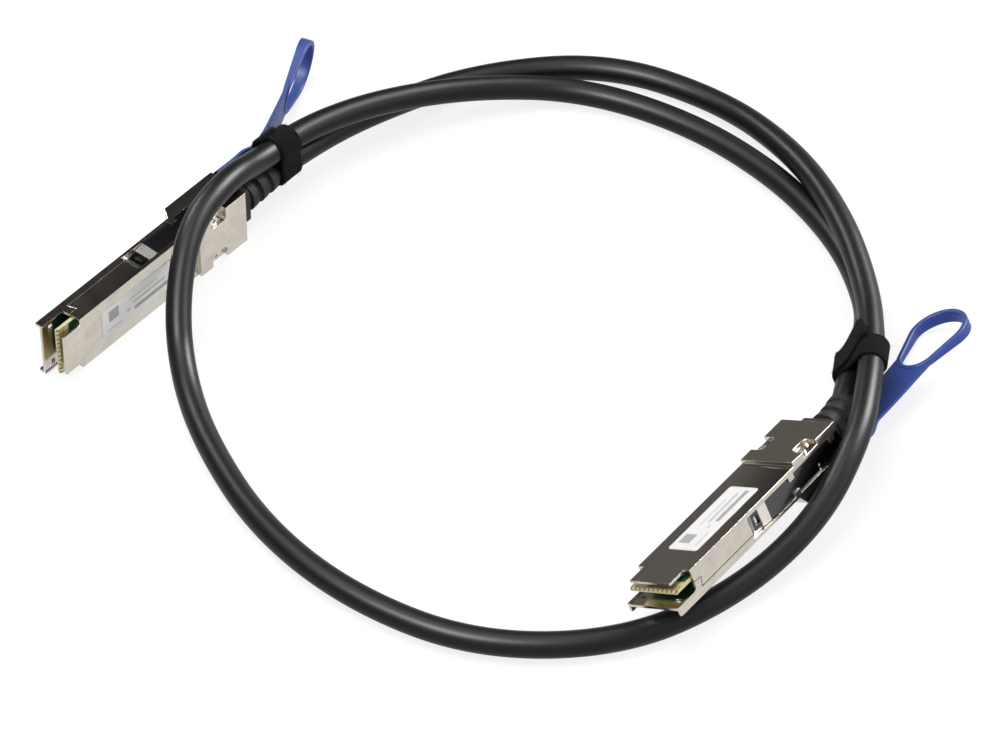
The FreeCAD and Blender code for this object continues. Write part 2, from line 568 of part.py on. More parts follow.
def wire_pairs():
    """Shielded pairs laid flat on both faces of the card and led into the mould."""
    pairs = []
    card_end = TONGUE_SETBACK + CARD_LENGTH
    x0, x1 = card_end - PAIR_OVERLAP, MOULD_START
    round_r = PAIR_HEIGHT / 2
    for z0 in (CARD_TOP, CARD_TOP - CARD_THICKNESS - PAIR_HEIGHT):
        for index in range(PAIRS_PER_SIDE):
            y = (index - (PAIRS_PER_SIDE - 1) / 2) * PAIR_PITCH
            flat = PAIR_WIDTH / 2 - round_r
            body = box(x0, x1, y - flat, y + flat, z0, z0 + PAIR_HEIGHT)
            ends = [Part.makeCylinder(round_r, x1 - x0, Vector(x0, y + s * flat, z0 + round_r),
                                      Vector(1, 0, 0))
                    for s in (-1, 1)]
            pairs.append(fused(body, *ends))
    return Part.makeCompound(pairs)


def wire_mould():
    """Moulded block that holds the pairs and the cable's end."""
    half = CHANNEL_FLOOR - SHEET - MOULD_INSET
    return box(MOULD_START, MOULD_START + MOULD_LENGTH, -half, half,
               LOW + SHEET, POCKET_FLOOR - SHEET - MOULD_GAP)


def crimp_ring():
    """Ring crimped over the cable's braid, between the mould and the rear walls."""
    x0 = MOULD_START + MOULD_LENGTH
    bars = [Part.makeCylinder(radius, length, Vector(x0, 0, CABLE_AXIS_HEIGHT), Vector(1, 0, 0))
            for radius, length in ((CABLE_DIAMETER / 2, CRIMP_LENGTH),
                                   (CABLE_DIAMETER / 2 - CRIMP_WALL, BODY_LENGTH - x0))]
    return fused(*bars)


def boot_length():
    """From the rear face to the end of the last rib."""
    return BOOT_BLOCK_LENGTH + BOOT_RIB_COUNT * (BOOT_RIB_LENGTH + BOOT_GAP)


def boot_frame(distance, bend):
    """Point and heading of the boot's axis at a distance behind the rear face."""
    bent = max(0.0, distance - BOOT_BLOCK_LENGTH)
    start = Vector(BODY_LENGTH + min(distance, BOOT_BLOCK_LENGTH), 0, CABLE_AXIS_HEIGHT)
    turn = math.radians(bend)
    if abs(turn) < 1e-6:
        return start + Vector(bent, 0, 0), Vector(1, 0, 0)
    radius = (boot_length() - BOOT_BLOCK_LENGTH) / turn
    angle = bent / radius
    shift = Vector(radius * math.sin(angle), radius * (1 - math.cos(angle)), 0)
    return start + shift, Vector(math.cos(angle), math.sin(angle), 0)


def boot_ring(distance, radius, bend):
    """Circle square to the boot's axis."""
    point, heading = boot_frame(distance, bend)
    return Part.Wire(Part.makeCircle(radius, point, heading))


def boot_link(start, end, start_radius, end_radius, bend):
    """Short tapering length of the boot between two distances behind the rear face."""
    return Part.makeLoft([boot_ring(start, start_radius, bend), boot_ring(end, end_radius, bend)], True, True)


def strain_relief(bend):
    """Rubber boot: flat block against the rear face, then tapering ribs that follow the cable."""
    half_w, half_h = BOOT_BLOCK_WIDTH / 2, BOOT_BLOCK_HEIGHT / 2
    block = box(BODY_LENGTH, BODY_LENGTH + BOOT_BLOCK_LENGTH, -half_w, half_w,
                CABLE_AXIS_HEIGHT - half_h, CABLE_AXIS_HEIGHT + half_h)
    lengthwise = [e for e in block.Edges if abs(e.Vertexes[0].X - e.Vertexes[1].X) > BOOT_BLOCK_LENGTH / 2]
    parts = [block.makeFillet(BOOT_ROUND, lengthwise)]
    sleeve = CABLE_DIAMETER / 2 + BOOT_CORE_WALL
    for index in range(BOOT_RIB_COUNT):
        gap_start = BOOT_BLOCK_LENGTH + index * (BOOT_RIB_LENGTH + BOOT_GAP)
        rib_start = gap_start + BOOT_GAP
        large = (BOOT_FIRST_RIB + index * (BOOT_LAST_RIB - BOOT_FIRST_RIB) / (BOOT_RIB_COUNT - 1)) / 2
        parts.append(boot_link(gap_start, rib_start, sleeve, sleeve, bend))
        parts.append(boot_link(rib_start, rib_start + BOOT_RIB_LENGTH, large, large - BOOT_RIB_TAPER, bend))
    return fused(*parts)


def shell_screws():
    """Two cross-recess screws that clamp the shells together, as separate solids."""
    screws = []
    length, width, depth = SCREW_SLOT
    for side_sign in (1, -1):
        x, y = screw_place(side_sign)
        head = Part.makeCylinder(SCREW_HEAD_RADIUS, SCREW_HEAD_HEIGHT, Vector(x, y, POCKET_FLOOR))
        shank = Part.makeCylinder(SCREW_SHANK_RADIUS, SCREW_LENGTH, Vector(x, y, POCKET_FLOOR - SCREW_LENGTH))
        top = POCKET_FLOOR + SCREW_HEAD_HEIGHT
        cross = fused(box(x - length / 2, x + length / 2, y - width / 2, y + width / 2, top - depth, top + 1),
                      box(x - width / 2, x + width / 2, y - length / 2, y + length / 2, top - depth, top + 1))
        screws.append(fused(head, shank).cut(cross))
    return Part.makeCompound(screws)


def label():
    """Paper label with rounded corners on the label face."""
    plate = box(LABEL_START, LABEL_START + LABEL_LENGTH, -LABEL_WIDTH / 2, LABEL_WIDTH / 2,
                TOP, TOP + LABEL_THICKNESS)
    upright = [e for e in plate.Edges if abs(e.Vertexes[0].Z - e.Vertexes[1].Z) > LABEL_THICKNESS / 2]
    return plate.makeFillet(LABEL_ROUND, upright)


def tie(place, turn, flap_side):
    """Hook-and-loop band round two stacked strands, with its free end lying on the outside."""
    inner_w = CABLE_DIAMETER + 2 * TIE_PLAY
    inner_l = 2 * CABLE_DIAMETER + 2 * TIE_PLAY
    outer = stadium(inner_l + 2 * TIE_WALL, inner_w + 2 * TIE_WALL, -TIE_WIDTH / 2, TIE_WIDTH / 2)
    band = outer.cut(stadium(inner_l, inner_w, -TIE_WIDTH, TIE_WIDTH))
    side = inner_w / 2 + TIE_WALL
    y0, y1 = sorted((flap_side * (side - TIE_WALL / 2), flap_side * (side + TIE_WALL)))
    half_flap = TIE_WIDTH / 2 - TIE_FLAP_INSET
    flap = box(-TIE_FLAP_LENGTH / 2, TIE_FLAP_LENGTH / 2, y0, y1, -half_flap, half_flap)
    shape = fused(band, flap)
    stand = Rotation(Vector(0, 1, 0), -90)                    # long axis up, band axis along X
    heading, lean = turn
    shape.Placement = Placement(Vector(*place), Rotation(Vector(0, 0, 1), heading)
                                .multiply(Rotation(Vector(1, 0, 0), lean)).multiply(stand))
    return shape


def boot_end(plug, bend):
    """End of a placed boot, and the way the cable leaves it."""
    point, heading = boot_frame(boot_length(), bend)
    return plug.multVec(point), plug.Rotation.multVec(heading)


def cable_points():
    """Whole route, from the end of boot A to the end of boot B."""
    middle = [Vector(*p) for p in CABLE_ROUTE]
    return [boot_end(PLUG_A, BOOT_BEND_A)[0]] + middle + [boot_end(PLUG_B, BOOT_BEND_B)[0]]


def cable_corner(before, corner, after):
    """Start, middle and end of the arc that rounds one corner of the route."""
    arrive, leave = corner - before, after - corner
    cut = CABLE_BEND_SHARE * min(arrive.Length, leave.Length)
    half_turn = arrive.getAngle(leave) / 2
    arrive.normalize()
    leave.normalize()
    radius = cut / math.tan(half_turn)
    bisector = leave - arrive
    bisector.normalize()
    middle = corner + bisector * (radius / math.cos(half_turn) - radius)
    return corner - arrive * cut, middle, corner + leave * cut


def cable():
    """Round jacket along straight runs joined by tangent arcs."""
    points = cable_points()
    edges = []
    last = points[0]
    for before, corner, after in zip(points, points[1:], points[2:]):
        start, middle, end = cable_corner(before, corner, after)
        edges.append(Part.LineSegment(last, start).toShape())
        edges.append(Part.Arc(start, middle, end).toShape())
        last = end
    edges.append(Part.LineSegment(last, points[-1]).toShape())
    path = Part.Wire(edges)
    section = Part.Wire(Part.makeCircle(CABLE_DIAMETER / 2, points[0], points[1] - points[0]))
    print("cable length %.1f" % path.Length)
    return path.makePipeShell([section], True, False)


def plug_pieces(tab_bend, boot_bend):
    """Every piece of one plug, in the plug's own axes."""
    return {
        "top_shell": top_shell(), "bottom_shell": bottom_shell(), "latch_slide": latch_slide(),
        "pull_tab": pull_tab(tab_bend), "return_spring": return_spring(), "paddle_card": paddle_card(),
        "contact_pads": contact_pads(), "memory_chip": memory_chip(), "capacitors": capacitors(),
        "wire_pairs": wire_pairs(), "wire_mould": wire_mould(), "crimp_ring": crimp_ring(),
        "strain_relief": strain_relief(boot_bend), "shell_screws": shell_screws(), "label": label()}


def placed(shape, placement):
    """Copy of a shape at its place in the layout."""
    copy = shape.copy()
    copy.Placement = placement.multiply(copy.Placement)
    return copy


def ground_middle(shapes):
    """Point on the ground in the middle of the box round all the shapes."""
    whole = BoundBox()
    for shape in shapes:
        whole.add(shape.optimalBoundingBox(False))
    return Vector(whole.Center.x, whole.Center.y, 0)


def build():
    """All pieces by name, with the origin on the ground in the middle of the box round the two plugs."""
    pieces = {}
    for suffix, plug, tab_bend, boot_bend in (("a", PLUG_A, TAB_BEND_A, BOOT_BEND_A),
                                              ("b", PLUG_B, TAB_BEND_B, BOOT_BEND_B)):
        for name, shape in plug_pieces(tab_bend, boot_bend).items():
            pieces["%s_%s" % (name, suffix)] = placed(shape, plug)
    origin = ground_middle(pieces.values())
    pieces["cable"] = cable()
    pieces["tie_a"] = tie(TIE_A_PLACE, TIE_A_TURN, -1)
    pieces["tie_b"] = tie(TIE_B_PLACE, TIE_B_TURN, -1)
    for shape in pieces.values():
        shape.translate(-origin)
    return pieces


os.makedirs("parts", exist_ok=True)
for piece_name, piece in build().items():
    piece.exportStep("parts/%s.step" % piece_name)
    print("%-18s solids %d valid %s volume %.1f"
          % (piece_name, len(piece.Solids), piece.isValid(), piece.Volume))
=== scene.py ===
"""Direct attach copper cable: jacket, ties, boots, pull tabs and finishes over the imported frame.

Lengths are in metres unless a name ends in _mm.  A plug's own axes run X from the mating end to the
cable, Y across the plug and Z out of the labelled face.
"""
import math

import bmesh
import bpy
import numpy as np
from bpy.props import FloatProperty, FloatVectorProperty, IntProperty, PointerProperty
from mathutils import Euler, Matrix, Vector


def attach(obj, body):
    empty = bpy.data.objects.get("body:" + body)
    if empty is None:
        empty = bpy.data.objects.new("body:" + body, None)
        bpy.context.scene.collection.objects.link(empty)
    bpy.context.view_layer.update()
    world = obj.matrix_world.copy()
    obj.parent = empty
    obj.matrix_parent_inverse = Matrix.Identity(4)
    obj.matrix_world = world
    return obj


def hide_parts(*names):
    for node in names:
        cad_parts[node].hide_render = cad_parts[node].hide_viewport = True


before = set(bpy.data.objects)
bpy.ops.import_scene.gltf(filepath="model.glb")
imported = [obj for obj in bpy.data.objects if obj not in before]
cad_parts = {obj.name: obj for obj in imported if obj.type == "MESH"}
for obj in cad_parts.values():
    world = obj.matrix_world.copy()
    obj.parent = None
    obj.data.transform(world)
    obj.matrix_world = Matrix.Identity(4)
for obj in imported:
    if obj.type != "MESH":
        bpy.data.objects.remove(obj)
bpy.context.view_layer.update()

bl_info = {
    "name": "Direct attach copper cable",
    "version": (1, 0, 0),
    "blender": (4, 5, 0),
    "location": "3D View > Sidebar > Cable",
    "description": "Dresses a two-plug copper cable assembly and its small studio",
    "category": "Object",
}

MM = 0.001
ROOT = "plugs_and_cable"

# Where each plug's own axes stand in the frame: place in millimetres, then roll, pitch and yaw in degrees.
# tab_bend is where its tab bends and by how much; the joint share is how strongly shade is painted along its
# joint line, set per plug by how the light falls there.
PLUGS = {
    "a": {"place": (-123.8986, -12.3570, 9.175), "turn": (90.0, 0.0, 50.3), "body": "latch_a",
          "tab_bend": (81.3, -24.6), "tab_twist": 7.0, "tab_reach": 1.4,
          "joint_painted_shade": 0.15, "boot_bend": 0.0},
    "b": {"place": (37.6014, -104.8570, 12.7), "turn": (-29.2, 1.2, 52.8), "body": "latch_b",
          "tab_bend": (90.0, 3.6), "tab_twist": 0.0, "tab_reach": 0.0,
          "joint_painted_shade": 0.85, "boot_bend": 23.0},
}

# Line of the cable from the end of boot A to the end of boot B, in metres.
CABLE_ROUTE = [
    (-0.0662, 0.0588, 0.0092), (-0.0571, 0.0693, 0.0090), (-0.0390, 0.0873, 0.0060),
    (-0.0092, 0.1059, 0.0038), (0.0297, 0.1115, 0.0036), (0.0630, 0.0951, 0.0036),
    (0.0832, 0.0685, 0.0074), (0.0942, 0.0378, 0.0120), (0.0998, 0.0094, 0.0122),
    (0.0998, -0.0127, 0.0148), (0.0979, -0.0309, 0.0170), (0.0940, -0.0514, 0.0176),
    (0.0826, -0.0733, 0.0094), (0.0612, -0.0937, 0.0036), (0.0312, -0.1116, 0.0036),
    (-0.0074, -0.1126, 0.0036), (-0.0400, -0.0960, 0.0036), (-0.0646, -0.0709, 0.0036),
    (-0.0807, -0.0393, 0.0036), (-0.0879, -0.0138, 0.0042), (-0.0896, 0.0036, 0.0140),
    (-0.0865, 0.0235, 0.0234), (-0.0766, 0.0407, 0.0248), (-0.0679, 0.0563, 0.0175),
    (-0.0563, 0.0698, 0.0165), (-0.0367, 0.0839, 0.0136), (-0.0098, 0.0960, 0.0084),
    (0.0219, 0.1006, 0.0036), (0.0534, 0.0860, 0.0036), (0.0786, 0.0626, 0.0036),
    (0.0942, 0.0369, 0.0036), (0.1005, 0.0120, 0.0040), (0.0987, -0.0047, 0.0066),
    (0.0939, -0.0187, 0.0088), (0.0913, -0.0312, 0.0087)]
STRAND_RADIUS = 3.6 * MM    # of the cable inside a tie

# Middle of each tie, heading and lean of its axis in degrees, side of its flap, turns to its free end, and
# how far that end slips sideways in millimetres.
TIES = {
    "a": {"centre": (-0.0629, 0.0624, 0.0131), "heading": 50.3, "lean": 0.0,
          "flap": 1, "end": 1.20, "slip": 3.0},
    "b": {"centre": (0.0980, -0.0187, 0.0117), "heading": 261.0, "lean": -26.0,
          "flap": -1, "end": 1.13, "slip": 7.0},
}
TIE_START = -0.16           # turns before the middle of the flap's side
TIE_NEAR = 0.02             # a strand this near a tie's middle passes through it

# The sizes below are in a plug's own millimetres.
TAB_START = 76.4            # where a tab's web starts
TAB_HEIGHT = -6.55          # of the web's middle surface
TAB_HALF_WIDTHS = (8.85, 6.0)       # at the fork and behind it
TAB_HALF_THICKNESS = 0.55
TAB_NECK = (86.0, 94.0)     # where it narrows
TAB_BEND_LENGTH = 22.0
TAB_REACH = (84.0, 112.0)   # where it is drawn out
TAB_TWIST = (92.0, 122.0)
TAB_FLARE_START = 110.0     # it widens from here to within an inset of the loop's root
TAB_FLARE_INSET = 0.1
LOOP_START = 115.2

BOOT_START = 74.5           # rear face of the shells
BOOT_HEIGHT = -1.0          # of the cable's axis
BOOT_BLOCK = (4.2, 6.0, 4.6)        # length, half width and half height
BOOT_SLEEVE = 3.64          # radius between the ribs
RIBS, RIB_PITCH, RIB_GAP = 3, 4.3, 1.0
RIB_RADIUS, RIB_STEP = 4.85, 0.15   # of the first rib, and how much smaller each next one is
RIB_TAPER, RIB_LENGTH = 0.35, 3.3
BOOT_LENGTH = BOOT_BLOCK[0] + RIBS * RIB_PITCH

# The shells' joint line on a plug's sides, along which shade is painted: a seam, a crest nearer the front and
# the slant that joins them.
JOINT_WIDTH = (0.11, 0.18)  # painted shade within the first distance, none beyond the second
SIDE_FACES = (8.9, 9.0)
SEAM_HEIGHT = -2.05
CREST_START, CREST_HEIGHT, CREST_SLOPE = 8.4, 0.65, 0.071
SLANT_X, SLANT_TOP, SLANT_SLOPE = 11.2, 0.45, -0.36

LABEL_MIDDLE, LABEL_HALF = 30.8, (14.2, 5.1)
LABEL_SQUARE = (21.4, 1.7)
LABEL_BARS = (              # start, end, place across, and share of grey, which also widens the bar
    (18.5, 24.5, -3.1, 0.3), (26.5, 27.8, -1.2, 0.4), (27.5, 39.0, 2.2, 0.3), (29.0, 42.0, 0.3, 0.45),
    (29.5, 43.5, -2.1, 0.75))

CARD_HEIGHT, CARD_FACES, CARD_SIDES = 1.4, (0.47, 0.495), (7.9, 8.15)
PADS_START, PADS_END, PAD_PITCH = 2.7, 4.7, 0.8

CAMERA_PLACE = (-0.0011986, -0.924177, 0.93983)
CAMERA_TARGET = (-0.0011986, -0.009557, 0.0)
DARK_CARDS = (              # name, place, point faced and size, in metres
    ("back_card", (0.1, 1.1, 0.85), (0.1, 0, 0.85), (3.0, 1.7)),
    ("left_card", (-1.3, 0, 0.85), (0, 0, 0.85), (2.4, 1.7)),
    ("high_card", (0, 0, 1.9), (0, 0, 0), (2.8, 2.4)),
    ("ground_card", (0, 0.66, 0.002), (0, 0.66, 1), (2.2, 0.88)))
LAMPS = (                   # the same, then the setting of its power and the share that it takes
    ("key_lamp", (1.1, -0.15, 0.42), (0.0, 0.0, 0.0), (0.9, 0.6), "key", 1.0),
    ("overhead_lamp", (-0.25, 0.15, 1.2), (0, 0, 0), (0.8, 0.8), "fill", 1.0),
    ("sheen_right", (0.82, 0.60, 0.74), (0.1, -0.05, 0), (0.55, 0.6), "sheen", 2.0),
    ("sheen_left", (-0.67, 0.74, 0.70), (-0.09, -0.05, 0), (0.25, 0.4), "sheen", 0.4),
    ("sheen_front", (-0.45, -0.50, 1.1), (0, -0.1, 0), (0.5, 0.4), "sheen", 1.6))


# ---- sizes and colours that a user would change ----
def length(label, about, default):
    """A length shown in the scene's units."""
    return FloatProperty(name=label, description=about, default=default, subtype="DISTANCE", unit="LENGTH",
                         precision=5)


def colour(label, about, default):
    """A linear colour."""
    return FloatVectorProperty(name=label, description=about, default=default, size=3, subtype="COLOR",
                               min=0.0, max=1.0)


def power(label, about, default):
    """A lamp's power."""
    return FloatProperty(name=label, description=about, default=default, unit="POWER")


class CableJacketSettings(bpy.types.PropertyGroup):
    """Sizes and colours of the cable's jacket and boots."""
    diameter: length("Diameter", "Outside diameter of the jacket", 7.2 * MM)
    jacket: colour("Jacket", "Colour of the cable's jacket", (0.0042, 0.0042, 0.0047))
    rubber: colour("Rubber", "Colour of the strain-relief boots", (0.020, 0.020, 0.021))


class CableTieSettings(bpy.types.PropertyGroup):
    """Sizes and colour of the hook-and-loop ties."""
    width: length("Width", "Width of the strap", 7.6 * MM)
    thickness: length("Thickness", "Thickness of one layer of the strap", 1.05 * MM)
    fibres: IntProperty(name="Fibres", description="Loose fibres on each tie", default=420, min=0)
    strap: colour("Strap", "Colour of the strap", (0.0030, 0.0030, 0.0033))


class CableTabSettings(bpy.types.PropertyGroup):
    """Sizes and colour of the pull tabs."""
    loop_width: length("Loop width", "Outside width of the finger loop's far end", 18.0 * MM)
    root_width: length("Root width", "Outside width of the finger loop's root", 12.8 * MM)
    loop_length: length("Loop length", "Outside length of the finger loop", 25.7 * MM)
    wall: length("Wall", "Wall of the finger loop", 1.5 * MM)
    band: length("Band", "Height of the finger loop's wall at its far end", 3.9 * MM)
    root_band: length("Root band", "Height of the finger loop's wall at its root", 1.6 * MM)
    blue: colour("Blue", "Colour of the moulded tab", (0.024, 0.062, 0.300))


class CablePlugSettings(bpy.types.PropertyGroup):
    """Colours of the plugs' metal, card and label."""
    edge: length("Edge round", "Round on the shells' edges", 0.12 * MM)
    nickel: colour("Nickel", "Colour of the plated shells", (0.56, 0.52, 0.46))
    steel: colour("Steel", "Colour of the stamped slide", (0.075, 0.076, 0.082))
    ramp: colour("Ramp", "Colour of the slide's rubbed ramp and tip", (0.60, 0.57, 0.53))
    gold: colour("Gold", "Colour of the contact pads", (0.83, 0.62, 0.28))
    mask: colour("Solder mask", "Colour of the card's faces", (0.012, 0.110, 0.045))
    paper: colour("Label", "Colour of the label's paper", (0.80, 0.80, 0.79))


class CableStageSettings(bpy.types.PropertyGroup):
    """Camera and light of the small studio."""
    lens: FloatProperty(name="Lens", description="Focal length of the camera", default=172.49, unit="CAMERA")
    key: power("Key light", "Power of the large lamp at the side", 3.0)
    fill: power("Overhead light", "Power of the lamp overhead", 9.0)
    sheen: power("Sheen light", "Power of the lamps that only shiny skins show", 26.0)
    ambient: FloatProperty(name="Ambient", description="Strength of the light from all round", default=0.6)


# ---- shader maths ----
class Value:
    """A number that varies over a surface; its operators add Math nodes to the tree it belongs to."""

    def __init__(self, nodes, socket):
        self.nodes = nodes
        self.socket = socket

    def maths(self, operation, *inputs):
        """The result of a Math node."""
        node = self.nodes.node("Math", {"operation": operation}, dict(enumerate(inputs)))
        return Value(self.nodes, node.outputs[0])

    def __add__(self, other):
        return self.maths("ADD", self, other)

    def __sub__(self, other):
        return self.maths("SUBTRACT", self, other)

    def __rsub__(self, other):
        return self.maths("SUBTRACT", other, self)

    def __mul__(self, other):
        return self.maths("MULTIPLY", self, other)

    def __gt__(self, other):
        return self.maths("GREATER_THAN", self, other)

    def __abs__(self):
        return self.maths("ABSOLUTE", self)

    __radd__ = __add__
    __rmul__ = __mul__

    def most(self, other):
        """The larger of the two numbers."""
        return self.maths("MAXIMUM", self, other)

    def fraction(self):
        """The number less the whole number below it."""
        return self.maths("FRACT", self)

    def near(self, inner, outer):
        """1 within inner of zero, 0 beyond outer, smooth between."""
        return 1 - abs(self).step(inner, outer)

    def band(self, low, high):
        """1 between two pairs of numbers, each of which says where a change starts and ends."""
        return self.step(*low) * (1 - self.step(*high))

    def step(self, low, high):
        """0 below low, 1 above high, smooth between."""
        node = self.nodes.node("MapRange", {"interpolation_type": "SMOOTHSTEP"},
                               {"Value": self, "From Min": low, "From Max": high})
        return Value(self.nodes, node.outputs["Result"])


class Nodes:
    """A tree of shader nodes, empty at first."""

    def __init__(self, tree):
        self.tree = tree
        tree.nodes.clear()

    def node(self, kind, settings=None, inputs=None):
        """Adds a shader node: its settings are set first, then the values or links of its sockets."""
        node = self.tree.nodes.new("ShaderNode" + kind)
        for key, value in (settings or {}).items():
            setattr(node, key, value)
        for key, value in (inputs or {}).items():
            socket = node.inputs[key]
            if isinstance(value, Value):
                value = value.socket
            if isinstance(value, bpy.types.NodeSocket):
                self.tree.links.new(value, socket)
            elif socket.type == "RGBA" and len(value) == 3:
                socket.default_value = (*value, 1.0)
            else:
                socket.default_value = value
        return node


class Finish(Nodes):
    """A material being made, with coordinates in millimetres along a plug's own axes or the frame's."""

    def __init__(self, name, place=None):
        self.material = bpy.data.materials.new(name)
        self.material.use_nodes = True
        super().__init__(self.material.node_tree)
        coords = self.node("TexCoord").outputs["Object"]
        plug = PLUGS.get(place, {"place": (0, 0, 0), "turn": (0, 0, 0)})
        mapping = self.node("Mapping", {"vector_type": "TEXTURE"},
                            {"Vector": coords, "Location": [c * MM for c in plug["place"]],
                             "Rotation": [math.radians(a) for a in plug["turn"]], "Scale": (MM, MM, MM)})
        self.at = mapping.outputs[0]

    def axes(self):
        """The three coordinates in millimetres, as values."""
        split = self.node("SeparateXYZ", inputs={0: self.at})
        return [Value(self, split.outputs[i]) for i in range(3)]

    def stretched(self, x, y, z):
        """The coordinates with each axis scaled, for grain that runs along one of them."""
        return self.node("VectorMath", {"operation": "MULTIPLY"}, {0: self.at, 1: (x, y, z)}).outputs[0]

    def noise(self, per_mm, detail=2.0, rough=0.5, at=None):
        """Smooth noise from 0 to 1, with so many cells a millimetre."""
        node = self.node("TexNoise", inputs={"Vector": at or self.at, "Scale": per_mm,
                                             "Detail": detail, "Roughness": rough})
        return Value(self, node.outputs[0])

    def cells(self, per_mm):
        """Distance to the nearest of scattered points, in cells."""
        node = self.node("TexVoronoi", inputs={"Vector": self.at, "Scale": per_mm})
        return Value(self, node.outputs["Distance"])

    def mix(self, factor, first, second):
        """A colour between two colours."""
        node = self.node("Mix", {"data_type": "RGBA"}, {0: factor, 6: first, 7: second})
        return node.outputs[2]

    def bump(self, height, depth_mm):
        """A surface raised by height times a depth."""
        node = self.node("Bump", inputs={"Height": height, "Distance": depth_mm * MM, "Strength": 1.0})
        return node.outputs[0]

    def done(self, inputs):
        """Ends the material in its main shader."""
        shader = self.node("BsdfPrincipled", inputs=inputs)
        self.node("OutputMaterial", inputs={"Surface": shader.outputs[0]})
        return self.material


def shade(tone, factor):
    """A darker or lighter tone of a colour."""
    return tuple(min(1.0, c * factor) for c in tone)


def joint_line(x, y, z):
    """1 on the shells' joint line, where shade is painted: the nearest of the seam, the sloping crest and the
    steep slant.
    """
    seam = (z - SEAM_HEIGHT).near(*JOINT_WIDTH) * x.band((10.2, 10.3), (33.0, 33.2))
    crest = z - CREST_HEIGHT + (x - CREST_START) * CREST_SLOPE
    crest = crest.near(*JOINT_WIDTH) * x.band((8.3, 8.4), (11.2, 11.3))
    slant = x - SLANT_X + (z - SLANT_TOP) * SLANT_SLOPE
    slant = slant.near(*JOINT_WIDTH) * z.band((-2.2, -2.1), (0.45, 0.5))
    return seam.most(crest).most(slant) * abs(y).step(*SIDE_FACES)


def plated(name, place, tone, roughness, grain, soil=0.0):
    """Plated sheet metal: fine orange peel, faint rub marks along the plug, small dark specks and painted
    joint shade.
    """
    finish = Finish(name, place)
    rub = finish.noise(0.9, 4.0, 0.65, finish.stretched(0.25, 1.6, 1.6))
    cloud = finish.noise(0.16, 3.0)
    speck = 1 - finish.cells(1.1).step(0.03, 0.07)
    specks = speck * (finish.noise(0.35) > 0.62)
    dull = (rub * 0.5 + cloud * 0.5).step(0.3, 0.75)
    base = finish.mix(dull, shade(tone, 1.06), shade(tone, 0.84))
    base = finish.mix(specks * 0.55, base, shade(tone, 0.25))
    # painted shade: a dark line along the shells' joint stands in for the shadow in the gap and hides its
    # glint
    if soil:
        base = finish.mix(joint_line(*finish.axes()) * soil, base, (0.01, 0.01, 0.01))
    peel = finish.noise(grain, 2.0)
    return finish.done({"Base Color": base, "Metallic": 1.0,
                        "Roughness": roughness + dull * 0.06 - specks * 0.05,
                        "Normal": finish.bump(peel + rub * 0.5, 0.016)})


def slide_metal(name, place, tone, rubbed):
    """Dark-plated stamped slide whose tip and cam ramp are rubbed bright, with draw lines along it."""
    finish = Finish(name, place)
    x = finish.axes()[0]
    line = finish.noise(1.2, 3.0, 0.6, finish.stretched(0.12, 2.0, 2.0))
    ramp = x.band((38.3, 38.6), (41.5, 41.8))
    tip = 1 - x.step(34.9, 35.2)
    bright = ramp.most(tip * 0.7)
    base = finish.mix(line, shade(tone, 0.8), shade(tone, 1.25))
    base = finish.mix(bright, base, rubbed)
    return finish.done({"Base Color": base, "Metallic": 1.0,
                        "Roughness": 0.15 + line * 0.05 + bright * 0.08,
                        "Normal": finish.bump(line * (1 - bright), 0.003)})


def moulded(name, place, tone, roughness, depth=0.01, rub=0.06, shine=0.5):
    """Moulded plastic or rubber: fine spark-eroded grain, faint clouding and rubbed patches."""
    finish = Finish(name, place)
    cloud = finish.noise(0.22, 3.0)
    grain = finish.noise(5.0, 3.0, 0.6)
    patch = finish.noise(0.5, 4.0, 0.6).step(0.45, 0.7)
    base = finish.mix(cloud, shade(tone, 0.9), shade(tone, 1.12))
    base = finish.mix(patch * 0.25, base, shade(tone, 1.35))
    return finish.done({"Base Color": base, "Roughness": roughness + patch * rub + grain * 0.05,
                        "Specular IOR Level": shine, "Normal": finish.bump(grain, depth)})


def paper(name, place, tone):
    """Coated label paper: faint fibre, cut edges slightly soiled, a plain grey square and plain bars."""
    finish = Finish(name, place)
    x, y, _ = finish.axes()
    fibre = finish.noise(2.2, 4.0, 0.7, finish.stretched(1.0, 0.4, 1.0))
    long_half, wide_half = LABEL_HALF
    ends = (abs(x - LABEL_MIDDLE) * (1 / long_half)).step(0.955, 1.0)
    soil = ends.most((abs(y) * (1 / wide_half)).step(0.93, 1.0))
    base = finish.mix(fibre, shade(tone, 0.965), shade(tone, 1.03))
    base = finish.mix(soil * 0.35, base, shade(tone, 0.55))
    square = (x - LABEL_SQUARE[0]).near(1.9, 2.0) * (y - LABEL_SQUARE[1]).near(1.9, 2.0)
    base = finish.mix(square * 0.55, base, (0.04, 0.04, 0.04))
    for start, end, across, share in LABEL_BARS:
        wide = 0.1 + share * 0.7
        bar = x.band((start, start + 0.1), (end, end + 0.1)) * (y - across).near(wide, wide + 0.1)
        base = finish.mix(bar * share, base, (0.20, 0.20, 0.21))
    return finish.done({"Base Color": base, "Roughness": 0.55 + fibre * 0.12,
                        "Specular IOR Level": 0.25, "Normal": finish.bump(fibre, 0.006)})


